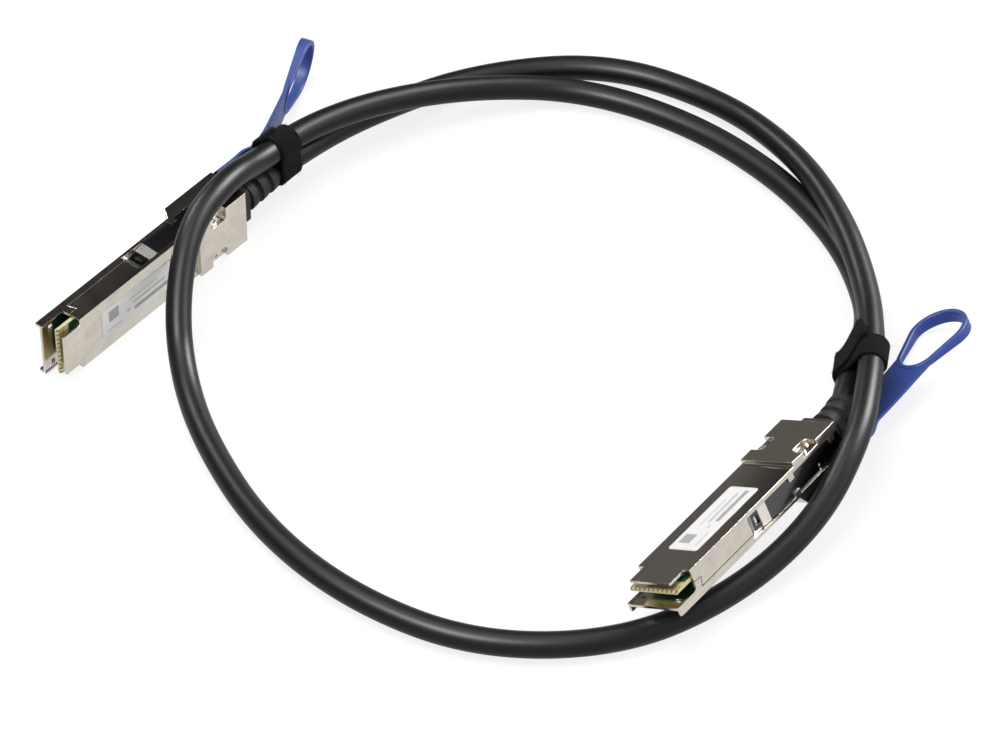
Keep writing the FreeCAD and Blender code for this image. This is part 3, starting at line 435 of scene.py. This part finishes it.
def card_finish(name, place, mask, laminate):
    """Circuit card: green mask with faint tracks on both faces, and bare glass laminate round its edges.

    Dark gaps part the pads at their pitch, and ticks mark every second pad along the front edge.
    """
    finish = Finish(name, place)
    x, y, z = finish.axes()
    above = z - CARD_HEIGHT
    face = abs(above).step(*CARD_FACES)
    inside = (x - 6.2).step(0.0, 0.3) * y.near(*CARD_SIDES)
    tracks = abs(finish.noise(0.9, 0.0, 0.5, finish.stretched(0.15, 1.4, 1.0)) - 0.5).step(0.0, 0.05)
    weave = finish.noise(2.6, 2.0, 0.6, finish.stretched(1.0, 1.0, 3.0))
    green = finish.mix(tracks, shade(mask, 1.8), mask)
    glass = finish.mix(weave, shade(laminate, 0.8), shade(laminate, 1.1))
    base = finish.mix(inside * face, glass, green)
    pads = x.band((PADS_START, PADS_START + 0.05), (PADS_END, PADS_END + 0.05)) * face
    gaps = abs((y * (1 / PAD_PITCH)).fraction() - 0.5).step(0.13, 0.17)
    front = (1 - x.step(PADS_START + 0.05, PADS_START + 0.1)) * above.step(-0.1, 0.0)
    ticks = abs((y * (0.5 / PAD_PITCH)).fraction() - 0.5).step(0.34, 0.38)
    base = finish.mix((pads * gaps).most(front * ticks) * 0.85, base, shade(mask, 0.4))
    return finish.done({"Base Color": base, "Roughness": 0.42 - inside * 0.1 + weave * 0.1,
                        "Normal": finish.bump(tracks * -0.5 + weave, 0.01)})


def foil(name, place, tone):
    """Wrapped foil: turns of overlapping tape with small creases."""
    finish = Finish(name, place)
    x, y, _ = finish.axes()
    turn = (x * 0.9 + y * 0.35).fraction()
    crease = finish.noise(2.0, 4.0, 0.7)
    return finish.done({"Base Color": finish.mix(crease, shade(tone, 0.8), shade(tone, 1.1)), "Metallic": 1.0,
                        "Roughness": 0.28 + crease * 0.2, "Normal": finish.bump(turn * 0.6 + crease, 0.05)})


def jacket_finish(tone):
    """Extruded cable jacket: satin skin with very fine draw grain, faint handling marks and dust."""
    finish = Finish("jacket_skin")
    grain = finish.noise(3.2, 4.0, 0.6)
    cloud = finish.noise(0.12, 3.0)
    scuff = finish.noise(0.7, 5.0, 0.7).step(0.56, 0.78)
    base = finish.mix(cloud, shade(tone, 0.85), shade(tone, 1.15))
    base = finish.mix(scuff * 0.3, base, shade(tone, 2.2))
    return finish.done({"Base Color": base, "Roughness": 0.38 + scuff * 0.12 + grain * 0.05,
                        "Specular IOR Level": 0.18, "Normal": finish.bump(grain, 0.012)})


def strap_finish(tone):
    """Brushed-loop strap: dense tangled pile that drinks light, with paler fibre ends."""
    finish = Finish("strap_pile")
    pile = finish.noise(2.6, 5.0, 0.75)
    loops = finish.cells(2.3).step(0.1, 0.6)
    tips = (pile * 0.6 + loops * 0.4).step(0.5, 0.8)
    base = finish.mix(tips, shade(tone, 0.7), shade(tone, 3.2))
    return finish.done({"Base Color": base, "Roughness": 0.96, "Specular IOR Level": 0.04,
                        "Sheen Weight": 0.03, "Sheen Roughness": 0.6,
                        "Normal": finish.bump(pile + loops * 0.7, 0.22)})


# ---- surfaces ----
def grid_faces(rows, columns, closed_rows, closed_columns):
    """Quads of a grid: each joins a point to the next along the rows, the columns and both."""
    r = np.arange(rows if closed_rows else rows - 1)
    c = np.arange(columns if closed_columns else columns - 1)
    row, column = np.meshgrid(r, c, indexing="ij")
    down, right = (row + 1) % rows, (column + 1) % columns
    quads = np.stack([row * columns + column, down * columns + column,
                      down * columns + right, row * columns + right], axis=-1)
    return quads.reshape(-1, 4)


def outward(points, faces):
    """The faces turned so that their volume, a sixth of the triple products summed, is positive."""
    corner, left, right, far = (points[faces[:, i]] for i in range(4))
    volume = np.einsum("ij,ij->", corner, np.cross(left, right) + np.cross(right, far))
    return faces if volume > 0 else faces[:, ::-1]


def tube(points, capped=True):
    """Surface from an array of rings (rows, columns, 3), with a fan to the middle of each end.

    Without caps the end rings have to be flat lines, so that merging their doubles closes them.
    """
    rows, columns = points.shape[:2]
    if not capped:
        flat = points.reshape(-1, 3)
        return flat, outward(flat, grid_faces(rows, columns, False, True))
    middle = points.mean(axis=1, keepdims=True)
    rings = np.concatenate([middle[:1].repeat(columns, 1), points, middle[-1:].repeat(columns, 1)])
    flat = rings.reshape(-1, 3)
    return flat, outward(flat, grid_faces(rows + 2, columns, False, True))


def ring(points):
    """Surface closed both ways, from an array (rows, columns, 3)."""
    flat = points.reshape(-1, 3)
    return flat, outward(flat, grid_faces(*points.shape[:2], True, True))


def piece(name, parts, body, finish, sharp=35.0):
    """One object from closed surfaces, with poles merged and smooth between sharp edges."""
    points = np.concatenate([p for p, _ in parts])
    starts = np.cumsum([0] + [len(p) for p, _ in parts[:-1]])
    faces = np.concatenate([f + s for (_, f), s in zip(parts, starts)])
    mesh = bpy.data.meshes.new(name)
    mesh.from_pydata(points.tolist(), [], faces.tolist())
    merge = bmesh.new()
    merge.from_mesh(mesh)
    bmesh.ops.remove_doubles(merge, verts=merge.verts, dist=1e-7)
    bmesh.ops.dissolve_degenerate(merge, edges=merge.edges, dist=1e-8)
    merge.to_mesh(mesh)
    merge.free()
    return placed(bpy.data.objects.new(name, mesh), body, finish, sharp)


def placed(thing, body, finish, sharp):
    """Puts an object in the scene with its finish, on its body."""
    bpy.context.scene.collection.objects.link(thing)
    thing.data.materials.clear()
    thing.data.materials.append(finish)
    if thing.type == "MESH":
        thing.data.shade_smooth()
        thing.data.set_sharp_from_angle(angle=math.radians(sharp))
    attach(thing, body)
    return thing


def round_rect(half_width, half_height, corner, steps=5):
    """Rounded rectangle: a quarter circle of the corner's radius about each of four centres."""
    angle = (np.arange(4)[:, None] * math.pi / 2 + np.linspace(0, math.pi / 2, steps)).ravel()
    side = np.repeat([1, -1, -1, 1], steps)
    rise = np.repeat([1, 1, -1, -1], steps)
    across = side * (half_width - corner) + corner * np.cos(angle)
    up = rise * (half_height - corner) + corner * np.sin(angle)
    return np.stack(np.broadcast_arrays(across, up), axis=-1)


def swept(path, across, up, section):
    """Each ring is its path point plus the section's two coordinates along across and up."""
    return path[:, None] + section[..., :1] * across[:, None] + section[..., 1:] * up[:, None]


def unit(vectors):
    """Vectors scaled to length one."""
    return vectors / np.linalg.norm(vectors, axis=-1, keepdims=True)


def smooth(value, low, high):
    """0 below low, 1 above high, three t squared minus two t cubed between."""
    t = np.clip((value - low) / (high - low), 0.0, 1.0)
    return t * t * (3 - 2 * t)


def in_frame(key, points_mm):
    """Points of a plug's own axes, in millimetres, turned and moved to the frame."""
    plug = PLUGS[key]
    turn = np.array(Euler([math.radians(a) for a in plug["turn"]]).to_matrix())
    return (points_mm @ turn.T + np.array(plug["place"])) * MM


# ---- cable ----
def route_curve(name, radius):
    """The route as one NURBS spline of order 3 through its two end points."""
    curve = bpy.data.curves.new(name, "CURVE")
    curve.dimensions = "3D"
    curve.resolution_u = 24
    curve.bevel_depth = radius
    curve.bevel_resolution = 8
    curve.use_fill_caps = True
    spline = curve.splines.new("NURBS")
    spline.points.add(len(CABLE_ROUTE) - 1)
    spline.points.foreach_set("co", np.array([(*p, 1.0) for p in CABLE_ROUTE]).ravel())
    spline.order_u = 3
    spline.use_endpoint_u = True
    return bpy.data.objects.new(name, curve)


def route_line():
    """Points along the cable's centreline, read from its spline without a bevel."""
    thread = route_curve("thread", 0.0)
    mesh = bpy.data.meshes.new_from_object(thread)
    line = np.empty(len(mesh.vertices) * 3)
    mesh.vertices.foreach_get("co", line)
    bpy.data.meshes.remove(mesh)
    bpy.data.objects.remove(thread)
    return line.reshape(-1, 3)


class OBJECT_OT_cable_jacket(bpy.types.Operator):
    """Lay the jacketed cable along its route between the two boots"""
    bl_idname = "object.cable_jacket"
    bl_label = "Cable jacket"

    def execute(self, context):
        settings = context.scene.cable_jacket
        jacket = route_curve("jacket", settings.diameter / 2)
        placed(jacket, ROOT, jacket_finish(settings.jacket), 0)
        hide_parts("cable")
        return {"FINISHED"}


# ---- ties ----
def tie_axes(tie):
    """Axis of the tie along the cable, and its direction from the lower strand to the higher one."""
    turn = Euler((math.radians(tie["lean"]), 0, math.radians(tie["heading"]))).to_matrix()
    return np.array(turn @ Vector((1, 0, 0))), np.array(turn @ Vector((0, 0, 1)))


def strands_at(tie):
    """Where the cable's two strands pass the tie's middle plane."""
    axis, _ = tie_axes(tie)
    line = route_line()
    centre = np.array(tie["centre"])
    ahead = (line - centre) @ axis
    near = np.linalg.norm(line - centre, axis=1) < TIE_NEAR
    crossing = np.flatnonzero((ahead[:-1] * ahead[1:] <= 0) & near[:-1])
    share = ahead[crossing] / (ahead[crossing] - ahead[crossing + 1])
    return line[crossing] + share[:, None] * (line[crossing + 1] - line[crossing])


def strap_path(tie, lift, turn):
    """Middle line of the strap at turns round the two strands, each point lifted off them by a distance.

    From the middle of the flap's side it goes up, over the high strand, down the far side, under the low
    strand and up again.  A cosine waists the straight legs between the strands.
    """
    axis, stack = tie_axes(tie)
    strands = strands_at(tie)
    low, high = strands[np.argsort(strands @ stack)]
    stack = unit(high - low)
    side = unit(np.cross(stack, axis)) * tie["flap"]
    radius = STRAND_RADIUS + lift
    gap = np.linalg.norm(high - low)
    half_turn = math.pi * radius
    whole = 2 * (half_turn + gap)
    around = turn * whole % whole
    legs = np.cumsum([np.full_like(radius, gap / 2), half_turn, np.full_like(radius, gap), half_turn], axis=0)
    on = [around < leg for leg in legs]
    flat = np.zeros_like(radius)
    angle = np.select(on, [flat, (around - legs[0]) / radius, flat + math.pi,
                           math.pi + (around - legs[2]) / radius], 2 * math.pi)
    along = np.select(on, [around, flat + gap / 2, gap / 2 - (around - legs[1]), flat - gap / 2],
                      around - legs[3] - gap / 2)
    normal = np.cos(angle)[:, None] * side + np.sin(angle)[:, None] * stack
    waist = 0.5 * MM * np.cos(np.pi * along / gap) * (np.abs(np.sin(angle)) < 1e-6)
    return (low + high) / 2 + along[:, None] * stack + (radius - waist)[:, None] * normal, normal, axis


def strap_surface(key, settings):
    """One strap: an inner turn all the way round, then its free end outside it, thinning to a rounded tip.

    The free end slips sideways by a smooth step, and its rings turn to stay square to the line.
    """
    tie = TIES[key]
    thickness, half = settings.thickness, settings.width / 2
    share = np.linspace(0, 1, 220)
    turn = TIE_START + (tie["end"] - TIE_START) * share
    outer = smooth(turn, 0.80, 0.92)
    point, normal, axis = strap_path(tie, thickness * (0.55 + outer), turn)
    point = point - axis * (tie["slip"] * MM * smooth(turn, 0.90, 1.17))[:, None]
    axis = unit(np.cross(np.gradient(point, axis=0), normal)) * tie["flap"]
    tip = np.sqrt(np.clip(1 - smooth(share, 0.975, 1.0) ** 2, 0.02, 1))
    root = np.sqrt(np.clip(1 - (1 - smooth(share, 0.0, 0.02)) ** 2, 0.3, 1))
    half_width = (half * (0.82 + 0.18 * tip) * root)[:, None]
    section = round_rect(half_width, np.full_like(half_width, thickness / 2), 0.4 * thickness, 6)
    return swept(point, axis, normal, section), point, normal, axis


def fibres(key, settings, seed):
    """Loose fibres: short three-sided arcs that leave the strap along its normal, lean over and taper."""
    rng = np.random.default_rng(seed)
    _, point, normal, axis = strap_surface(key, settings)
    count = settings.fibres
    pick = rng.integers(30, len(point) - 1, count)
    across = rng.uniform(-1, 1, count)
    across = np.sign(across) * np.abs(across) ** 0.35
    root = (point[pick] + normal[pick] * settings.thickness * 0.45
            + axis[pick] * (across * settings.width * 0.49)[:, None])
    lean = unit(axis[pick] * (np.sign(across) * rng.uniform(0.0, 1.6, count))[:, None]
                + rng.normal(0, 0.8, (count, 3)) + normal[pick] * 0.6)
    reach = rng.uniform(0.4, 1.3, count) * MM
    t = np.linspace(0, 1, 5)
    spine = (root[:, None] + (lean * reach[:, None])[:, None] * t[:, None]
             + (normal[pick] * (reach * rng.uniform(-0.5, 0.3, count))[:, None])[:, None] * (t ** 2)[:, None])
    sideways = unit(np.cross(lean, rng.normal(0, 1, (count, 3))))
    other = np.cross(lean, sideways)
    turn = np.arange(3) * 2 * math.pi / 3
    radius = 0.035 * MM * (1 - 0.7 * t)
    ringed = np.cos(turn)[:, None] * sideways[:, None, None] + np.sin(turn)[:, None] * other[:, None, None]
    points = spine[:, :, None] + ringed * radius[:, None, None]
    return [tube(p) for p in points]


class OBJECT_OT_cable_ties(bpy.types.Operator):
    """Wrap a hook-and-loop tie round the two strands at each plug"""
    bl_idname = "object.cable_ties"
    bl_label = "Ties"

    def execute(self, context):
        settings = context.scene.cable_tie
        finish = strap_finish(settings.strap)
        for seed, key in enumerate(TIES):
            surface = strap_surface(key, settings)[0]
            strap = piece("strap_" + key, [tube(surface)], ROOT, finish, 60)
            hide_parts("tie_" + key)
            piece("strap_fibres_" + key, fibres(key, settings, seed + 3), ROOT, finish, 60)
        return {"FINISHED"}


# ---- boots ----
def boot_line(distance, bend):
    """Boot's axis behind the rear face in plug millimetres: straight through the block, then an even bend."""
    block = BOOT_BLOCK[0]
    bent = np.maximum(0.0, distance - block)
    turn = math.radians(bend) if bend else 1e-6
    radius = (BOOT_LENGTH - block) / turn
    angle = bent / radius
    point = np.stack([BOOT_START + np.minimum(distance, block) + radius * np.sin(angle),
                      radius * (1 - np.cos(angle)), np.full_like(angle, BOOT_HEIGHT)], axis=-1)
    sideways = np.stack([-np.sin(angle), np.cos(angle), np.zeros_like(angle)], axis=-1)
    return point, sideways


def boot_surface(key):
    """Rubber boot: a rounded block, then three rounded ribs on a thin sleeve; smooth steps raise each rib."""
    distance = np.linspace(0.0, BOOT_LENGTH, 260)
    point, sideways = boot_line(distance, PLUGS[key]["boot_bend"])
    deep, wide, high = BOOT_BLOCK
    block = 1 - smooth(distance, deep - 0.45, deep)
    half_width = BOOT_SLEEVE + (wide - BOOT_SLEEVE) * block
    half_height = BOOT_SLEEVE + (high - BOOT_SLEEVE) * block
    for index in range(RIBS):
        start = deep + index * RIB_PITCH + RIB_GAP
        rib = smooth(distance, start - 0.05, start + 0.3) * (1 - smooth(distance, start + 2.55, start + 2.85))
        taper = RIB_TAPER * np.clip((distance - start) / RIB_LENGTH, 0, 1)
        raised = (RIB_RADIUS - RIB_STEP * index - taper - BOOT_SLEEVE) * rib
        half_width = half_width + raised
        half_height = half_height + raised
    front = 0.25 * (1 - smooth(distance, 0.0, 0.3))
    corner = np.minimum(half_width, half_height) * (1 - 0.62 * block)
    section = round_rect((half_width - front)[:, None], (half_height - front)[:, None],
                         (corner - front)[:, None] * 0.999, 9)
    up = np.tile([0.0, 0.0, 1.0], (len(distance), 1))
    return in_frame(key, swept(point, sideways, up, section))


class OBJECT_OT_cable_boots(bpy.types.Operator):
    """Form the ribbed rubber boot at the rear of each plug"""
    bl_idname = "object.cable_boots"
    bl_label = "Strain-relief boots"

    def execute(self, context):
        tone = context.scene.cable_jacket.rubber
        for key in PLUGS:
            finish = moulded("boot_rubber_" + key, key, tone, 0.6, 0.02, 0.1, 0.16)
            boot = piece("boot_" + key, [tube(boot_surface(key))], ROOT, finish, 50)
            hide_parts("strain_relief_" + key)
        return {"FINISHED"}


# ---- pull tabs ----
def tab_line(key, x, y=0.0):
    """Tab's middle surface in plug millimetres at x along it and y across it, with its across and its normal.

    It is drawn out by a smooth step, runs straight, along an arc and straight again, and turns about its own
    middle line by another smooth step.
    """
    plug = PLUGS[key]
    start, turn = plug["tab_bend"][0], math.radians(plug["tab_bend"][1])
    x = x + plug["tab_reach"] * smooth(x, *TAB_REACH)
    radius = TAB_BEND_LENGTH / turn
    angle = np.clip(x - start, 0, TAB_BEND_LENGTH) / radius
    rest = np.maximum(0, x - start - TAB_BEND_LENGTH)
    middle = np.stack([np.minimum(x, start) + radius * np.sin(angle) + np.cos(angle) * rest, np.zeros_like(x),
                       TAB_HEIGHT + radius * (1 - np.cos(angle)) + np.sin(angle) * rest], axis=-1)
    normal = np.stack([-np.sin(angle), np.zeros_like(x), np.cos(angle)], axis=-1)
    sideways = np.array([0.0, 1.0, 0.0])
    twist = math.radians(plug["tab_twist"]) * smooth(x, *TAB_TWIST)[..., None]
    across = sideways * np.cos(twist) + normal * np.sin(twist)
    normal = normal * np.cos(twist) - sideways * np.sin(twist)
    return middle + across * np.asarray(y)[..., None], across, normal


def teardrop(settings):
    """Middle line of the loop's wall, as distance from its root and across, with its outward normals.

    Two arcs, of the root's and the far end's radius, are joined by their common tangents.
    """
    inset = settings.wall / 2
    small, large = (np.array([settings.root_width, settings.loop_width]) / 2 - inset) / MM
    near, far = small + inset / MM, (settings.loop_length - inset) / MM - large
    lean = math.asin((large - small) / (far - near))
    half = math.pi / 2 + lean
    angle = np.concatenate([np.linspace(-half, half, 80), np.full(26, half),
                            np.linspace(half, 2 * math.pi - half, 50), np.full(26, -half)])
    side = np.linspace(0, 1, 28)[1:-1]
    blend = np.concatenate([np.zeros(80), side, np.ones(50), side[::-1]])
    normal = np.stack([np.cos(angle), np.sin(angle)], axis=-1)
    centre = np.stack([far + (near - far) * blend, np.zeros_like(blend)], axis=-1)
    return centre + (large + (small - large) * blend)[:, None] * normal, normal


def tab_web(key, settings):
    """Flat web of a flattened superellipse section, whose end follows the loop's root circle.

    Its half width falls by a smooth step behind the fork and swells by another into the loop.
    """
    share = np.concatenate([[0.0], np.linspace(0.0, 1.0, 90), [1.0]])[:, None]
    root = settings.root_width / 2 / MM
    run = LOOP_START - TAB_START + root
    turn = np.linspace(0, 2 * math.pi, 56, endpoint=False)
    rise = TAB_HALF_THICKNESS * np.sign(np.sin(turn)) * np.abs(np.sin(turn)) ** 0.14
    nominal = TAB_START + run * share
    fork, web = TAB_HALF_WIDTHS
    neck = (fork - web) * smooth(nominal, *TAB_NECK)
    flare = (root - TAB_FLARE_INSET - web) * smooth(nominal, TAB_FLARE_START, LOOP_START + root)
    y = np.cos(turn) * (fork - neck + flare)
    middle_wall = root - settings.wall / 2 / MM
    hollow = np.sqrt(np.maximum(0.0, middle_wall ** 2 - y ** 2))
    point, _, normal = tab_line(key, TAB_START + (run - hollow) * share, y)
    open_ring = (np.arange(len(share)) % (len(share) - 1) != 0)[:, None]
    return in_frame(key, point + normal * (rise * open_ring)[..., None])


def tab_loop(key, settings):
    """Finger loop: the teardrop's wall, whose band grows evenly from the root to the far end."""
    outline, aside = teardrop(settings)
    point, across, normal = tab_line(key, LOOP_START + outline[:, 0], outline[:, 1])
    ahead = np.cross(across, normal)
    outward_way = aside[:, :1] * ahead + aside[:, 1:] * across
    wall, reach = settings.wall / MM, settings.loop_length / MM
    height = (settings.root_band + (settings.band - settings.root_band) * (outline[:, 0] / reach)) / MM
    section = round_rect(np.full((len(height), 1), wall / 2), height[:, None] / 2, 0.42, 5)
    return in_frame(key, swept(point, outward_way, normal, section))


def tab_arm(key, side):
    """One arm of the fork: a slanted cheek carried straight across its thickness."""
    outline = np.array([(76.1, -6.9), (76.1, -3.7), (76.4, -3.4), (79.3, -3.4), (79.7, -3.55), (82.3, -5.9),
                        (82.4, -6.9)])
    y = side * np.array([7.4, 7.55, 8.7, 8.85])
    inset = np.array([0.12, 0.0, 0.0, 0.12])
    centre = outline.mean(axis=0)
    slim = outline[None] + unit(centre - outline)[None] * inset[:, None, None]
    points = np.stack([slim[..., 0], np.broadcast_to(y[:, None], slim.shape[:2]), slim[..., 1]], axis=-1)
    return in_frame(key, points)


class OBJECT_OT_cable_tabs(bpy.types.Operator):
    """Mould the blue pull tab with its finger loop on each latch slide"""
    bl_idname = "object.cable_tabs"
    bl_label = "Pull tabs"

    def execute(self, context):
        settings = context.scene.cable_tab
        for key, plug in PLUGS.items():
            finish = moulded("tab_plastic_" + key, key, settings.blue, 0.42, 0.006, 0.05, 0.24)
            parts = [tube(tab_web(key, settings), False), ring(tab_loop(key, settings)),
                     tube(tab_arm(key, 1)), tube(tab_arm(key, -1))]
            tab = piece("tab_" + key, parts, plug["body"], finish, 40)
            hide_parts("pull_tab_" + key)
        return {"FINISHED"}


# ---- plugs ----
def edged_copy(node, name, width, finish, body):
    """Copy of a stiff node with its flat faces joined and its edges rounded by a small bevel."""
    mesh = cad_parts[node].data.copy()
    merge = bmesh.new()
    merge.from_mesh(mesh)
    bmesh.ops.remove_doubles(merge, verts=merge.verts, dist=1e-6)
    bmesh.ops.dissolve_limit(merge, angle_limit=math.radians(0.6), verts=merge.verts, edges=merge.edges)
    merge.to_mesh(mesh)
    merge.free()
    copy = placed(bpy.data.objects.new(name, mesh), body, finish, 30)
    bevel = copy.modifiers.new("edge", "BEVEL")
    bevel.width = width
    bevel.segments = 2
    bevel.limit_method = "ANGLE"
    bevel.angle_limit = math.radians(35)
    bevel.harden_normals = True
    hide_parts(node)


def dress(node, finish):
    """Gives a node of the frame its finish."""
    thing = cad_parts[node]
    thing.data.materials.clear()
    thing.data.materials.append(finish)


class OBJECT_OT_plug_metal(bpy.types.Operator):
    """Round the edges of the shells and slides and plate them"""
    bl_idname = "object.plug_metal"
    bl_label = "Shells and slides"

    def execute(self, context):
        settings = context.scene.cable_plug
        for key, plug in PLUGS.items():
            # each plug's own share of painted joint shade goes into its nickel
            nickel = plated("nickel_" + key, key, settings.nickel, 0.12, 2.6, plug["joint_painted_shade"])
            steel = slide_metal("steel_" + key, key, settings.steel, settings.ramp)
            for half in ("top", "bottom"):
                edged_copy(f"{half}_shell_{key}", f"shell_{half}_{key}", settings.edge, nickel, ROOT)
            edged_copy("latch_slide_" + key, "slide_" + key, settings.edge / 2, steel, plug["body"])
            dress("return_spring_" + key, plated("spring_" + key, key, shade(settings.ramp, 0.8), 0.3, 3.0))
            dress("shell_screws_" + key, plated("screw_" + key, key, settings.ramp, 0.24, 3.0))
        return {"FINISHED"}


class OBJECT_OT_plug_inside(bpy.types.Operator):
    """Finish the card, its parts, the wires and the label of each plug"""
    bl_idname = "object.plug_inside"
    bl_label = "Card, wires and label"

    def execute(self, context):
        settings = context.scene.cable_plug
        rows = (("paddle_card", card_finish, "card", settings.mask, (0.62, 0.56, 0.30)),
                ("contact_pads", plated, "pads", settings.gold, 0.25, 4.0),
                ("memory_chip", moulded, "chip", (0.012, 0.012, 0.013), 0.5),
                ("capacitors", moulded, "ceramic", (0.32, 0.20, 0.11), 0.35),
                ("wire_pairs", foil, "foil", (0.75, 0.76, 0.78)),
                ("wire_mould", moulded, "mould", (0.018, 0.018, 0.018), 0.6, 0.03),
                ("crimp_ring", plated, "crimp", (0.62, 0.33, 0.19), 0.3, 2.0),
                ("label", paper, "label_paper", settings.paper))
        for key in PLUGS:
            for node, make, name, *values in rows:
                dress(f"{node}_{key}", make(f"{name}_{key}", key, *values))
        return {"FINISHED"}


# ---- studio ----
def added(name, data):
    """A new object in the scene."""
    thing = bpy.data.objects.new(name, data)
    bpy.context.scene.collection.objects.link(thing)
    return thing


def aim(thing, place, target):
    """Puts a lamp or a camera at a place, looking at a point."""
    thing.location = place
    thing.rotation_euler = (Vector(target) - Vector(place)).to_track_quat("-Z", "Y").to_euler()


def lamp(name, place, target, size, energy, sheen_only):
    """Rectangular soft lamp that faces a point; a lamp for sheen alone adds no plain light."""
    light = bpy.data.lights.new(name, "AREA")
    light.shape = "RECTANGLE"
    light.size, light.size_y = size
    light.energy = energy
    thing = added(name, light)
    aim(thing, place, target)
    thing.visible_diffuse = not sheen_only
    thing.visible_camera = False


def card_dusk():
    """Tone of the dark cards: dim near the ground, and dark by a smooth step at half a metre."""
    finish = Finish("card_dusk")
    dim, dark = 0.14, 0.02
    height = finish.axes()[2]
    glow = finish.mix(height.step(120, 520), (dim, dim * 0.97, dim * 0.93), (dark, dark, dark))
    return finish.done({"Base Color": (0.0, 0.0, 0.0), "Specular IOR Level": 0.0, "Roughness": 1.0,
                        "Emission Color": glow, "Emission Strength": 1.0})


def panel(name, place, target, size):
    """Flat rectangle that faces a point, for the floor and the dark cards."""
    wide, high = size[0] / 2, size[1] / 2
    corners = [(-wide, -high, 0), (wide, -high, 0), (wide, high, 0), (-wide, high, 0)]
    turn = (Vector(target) - Vector(place)).to_track_quat("Z", "Y").to_matrix()
    mesh = bpy.data.meshes.new(name)
    mesh.from_pydata([tuple(turn @ Vector(c) + Vector(place)) for c in corners], [], [(0, 1, 2, 3)])
    thing = added(name, mesh)
    return thing


def seen_white(nodes, share):
    """A factor that is share for rays from the camera, from glossy surfaces and through clear ones."""
    path = nodes.node("LightPath")
    camera, glossy, clear = (Value(nodes, path.outputs[f"Is {ray} Ray"])
                             for ray in ("Camera", "Glossy", "Transmission"))
    return camera.most(glossy).most(clear) * share


def floor_finish():
    """Pale floor: part of it shows pure white, and the rest takes light and the object's shadow."""
    finish = Finish("floor_white")
    cloud = finish.noise(0.004, 2.0)
    matte = finish.node("BsdfDiffuse",
                        inputs={"Color": finish.mix(cloud, (0.80, 0.80, 0.80), (0.82, 0.82, 0.82))})
    white = finish.node("Emission", inputs={"Color": (1.0, 1.0, 1.0), "Strength": 1.12})
    mixed = finish.node("MixShader", inputs={0: seen_white(finish, 0.72), 1: matte.outputs[0],
                                             2: white.outputs[0]})
    finish.node("OutputMaterial", inputs={"Surface": mixed.outputs[0]})
    return finish.material


class SCENE_OT_cable_stage(bpy.types.Operator):
    """Set the floor, the dark cards that metal reflects, the lamps and the camera"""
    bl_idname = "scene.cable_stage"
    bl_label = "Stage"

    def execute(self, context):
        settings = context.scene.cable_stage
        ground = panel("floor", (0, 0, 0), (0, 0, 1), (8, 8))
        ground.data.materials.append(floor_finish())
        dusk = card_dusk()
        for name, place, target, size in DARK_CARDS:
            card = panel(name, place, target, size)
            card.data.materials.append(dusk)
            for ray in ("camera", "diffuse", "shadow", "transmission"):
                setattr(card, "visible_" + ray, False)
        for name, place, target, size, setting, share in LAMPS:
            lamp(name, place, target, size, getattr(settings, setting) * share, setting == "sheen")
        self.world(context, settings)
        camera = bpy.data.cameras.new("camera")
        camera.lens = settings.lens
        camera.sensor_width = 36.0
        camera.clip_end = 50.0
        thing = added("camera", camera)
        aim(thing, CAMERA_PLACE, CAMERA_TARGET)
        context.scene.camera = thing
        context.scene.view_settings.view_transform = "Standard"
        return {"FINISHED"}

    def world(self, context, settings):
        """White to the camera and to metal and glass, and a gentle even light to everything else."""
        world = bpy.data.worlds.new("studio")
        world.use_nodes = True
        nodes = Nodes(world.node_tree)
        even = nodes.node("Background", inputs={"Color": (1, 1, 1), "Strength": settings.ambient})
        white = nodes.node("Background", inputs={"Color": (1, 1, 1), "Strength": 1.0})
        mixed = nodes.node("MixShader", inputs={0: seen_white(nodes, 1.0), 1: even.outputs[0],
                                                2: white.outputs[0]})
        nodes.node("OutputWorld", inputs={"Surface": mixed.outputs[0]})
        context.scene.world = world


class VIEW3D_PT_cable(bpy.types.Panel):
    """Sidebar panel with the sizes, the colours and a button for each group of pieces"""
    bl_idname = "VIEW3D_PT_cable"
    bl_label = "Copper cable"
    bl_space_type = "VIEW_3D"
    bl_region_type = "UI"
    bl_category = "Cable"

    def draw(self, context):
        for name, group in SETTINGS.items():
            column = self.layout.box().column()
            for key in group.__annotations__:
                column.prop(getattr(context.scene, name), key)
        for operator in OPERATORS:
            self.layout.operator(operator.bl_idname)


SETTINGS = {"cable_jacket": CableJacketSettings, "cable_tie": CableTieSettings, "cable_tab": CableTabSettings,
            "cable_plug": CablePlugSettings, "cable_stage": CableStageSettings}
OPERATORS = (OBJECT_OT_cable_ties, OBJECT_OT_cable_jacket, OBJECT_OT_cable_boots, OBJECT_OT_cable_tabs,
             OBJECT_OT_plug_metal, OBJECT_OT_plug_inside, SCENE_OT_cable_stage)


def register():
    """Adds the settings, the operators and the panel."""
    for each in (*SETTINGS.values(), *OPERATORS, VIEW3D_PT_cable):
        bpy.utils.register_class(each)
    for name, group in SETTINGS.items():
        setattr(bpy.types.Scene, name, PointerProperty(type=group))


def unregister():
    """Takes them out again."""
    for name in SETTINGS:
        delattr(bpy.types.Scene, name)
    for each in reversed((*SETTINGS.values(), *OPERATORS, VIEW3D_PT_cable)):
        bpy.utils.unregister_class(each)


def main():
    """Runs every operator in order."""
    register()
    for operator in OPERATORS:
        group, name = operator.bl_idname.split(".")
        getattr(getattr(bpy.ops, group), name)()


if __name__ == "__main__":
    main()
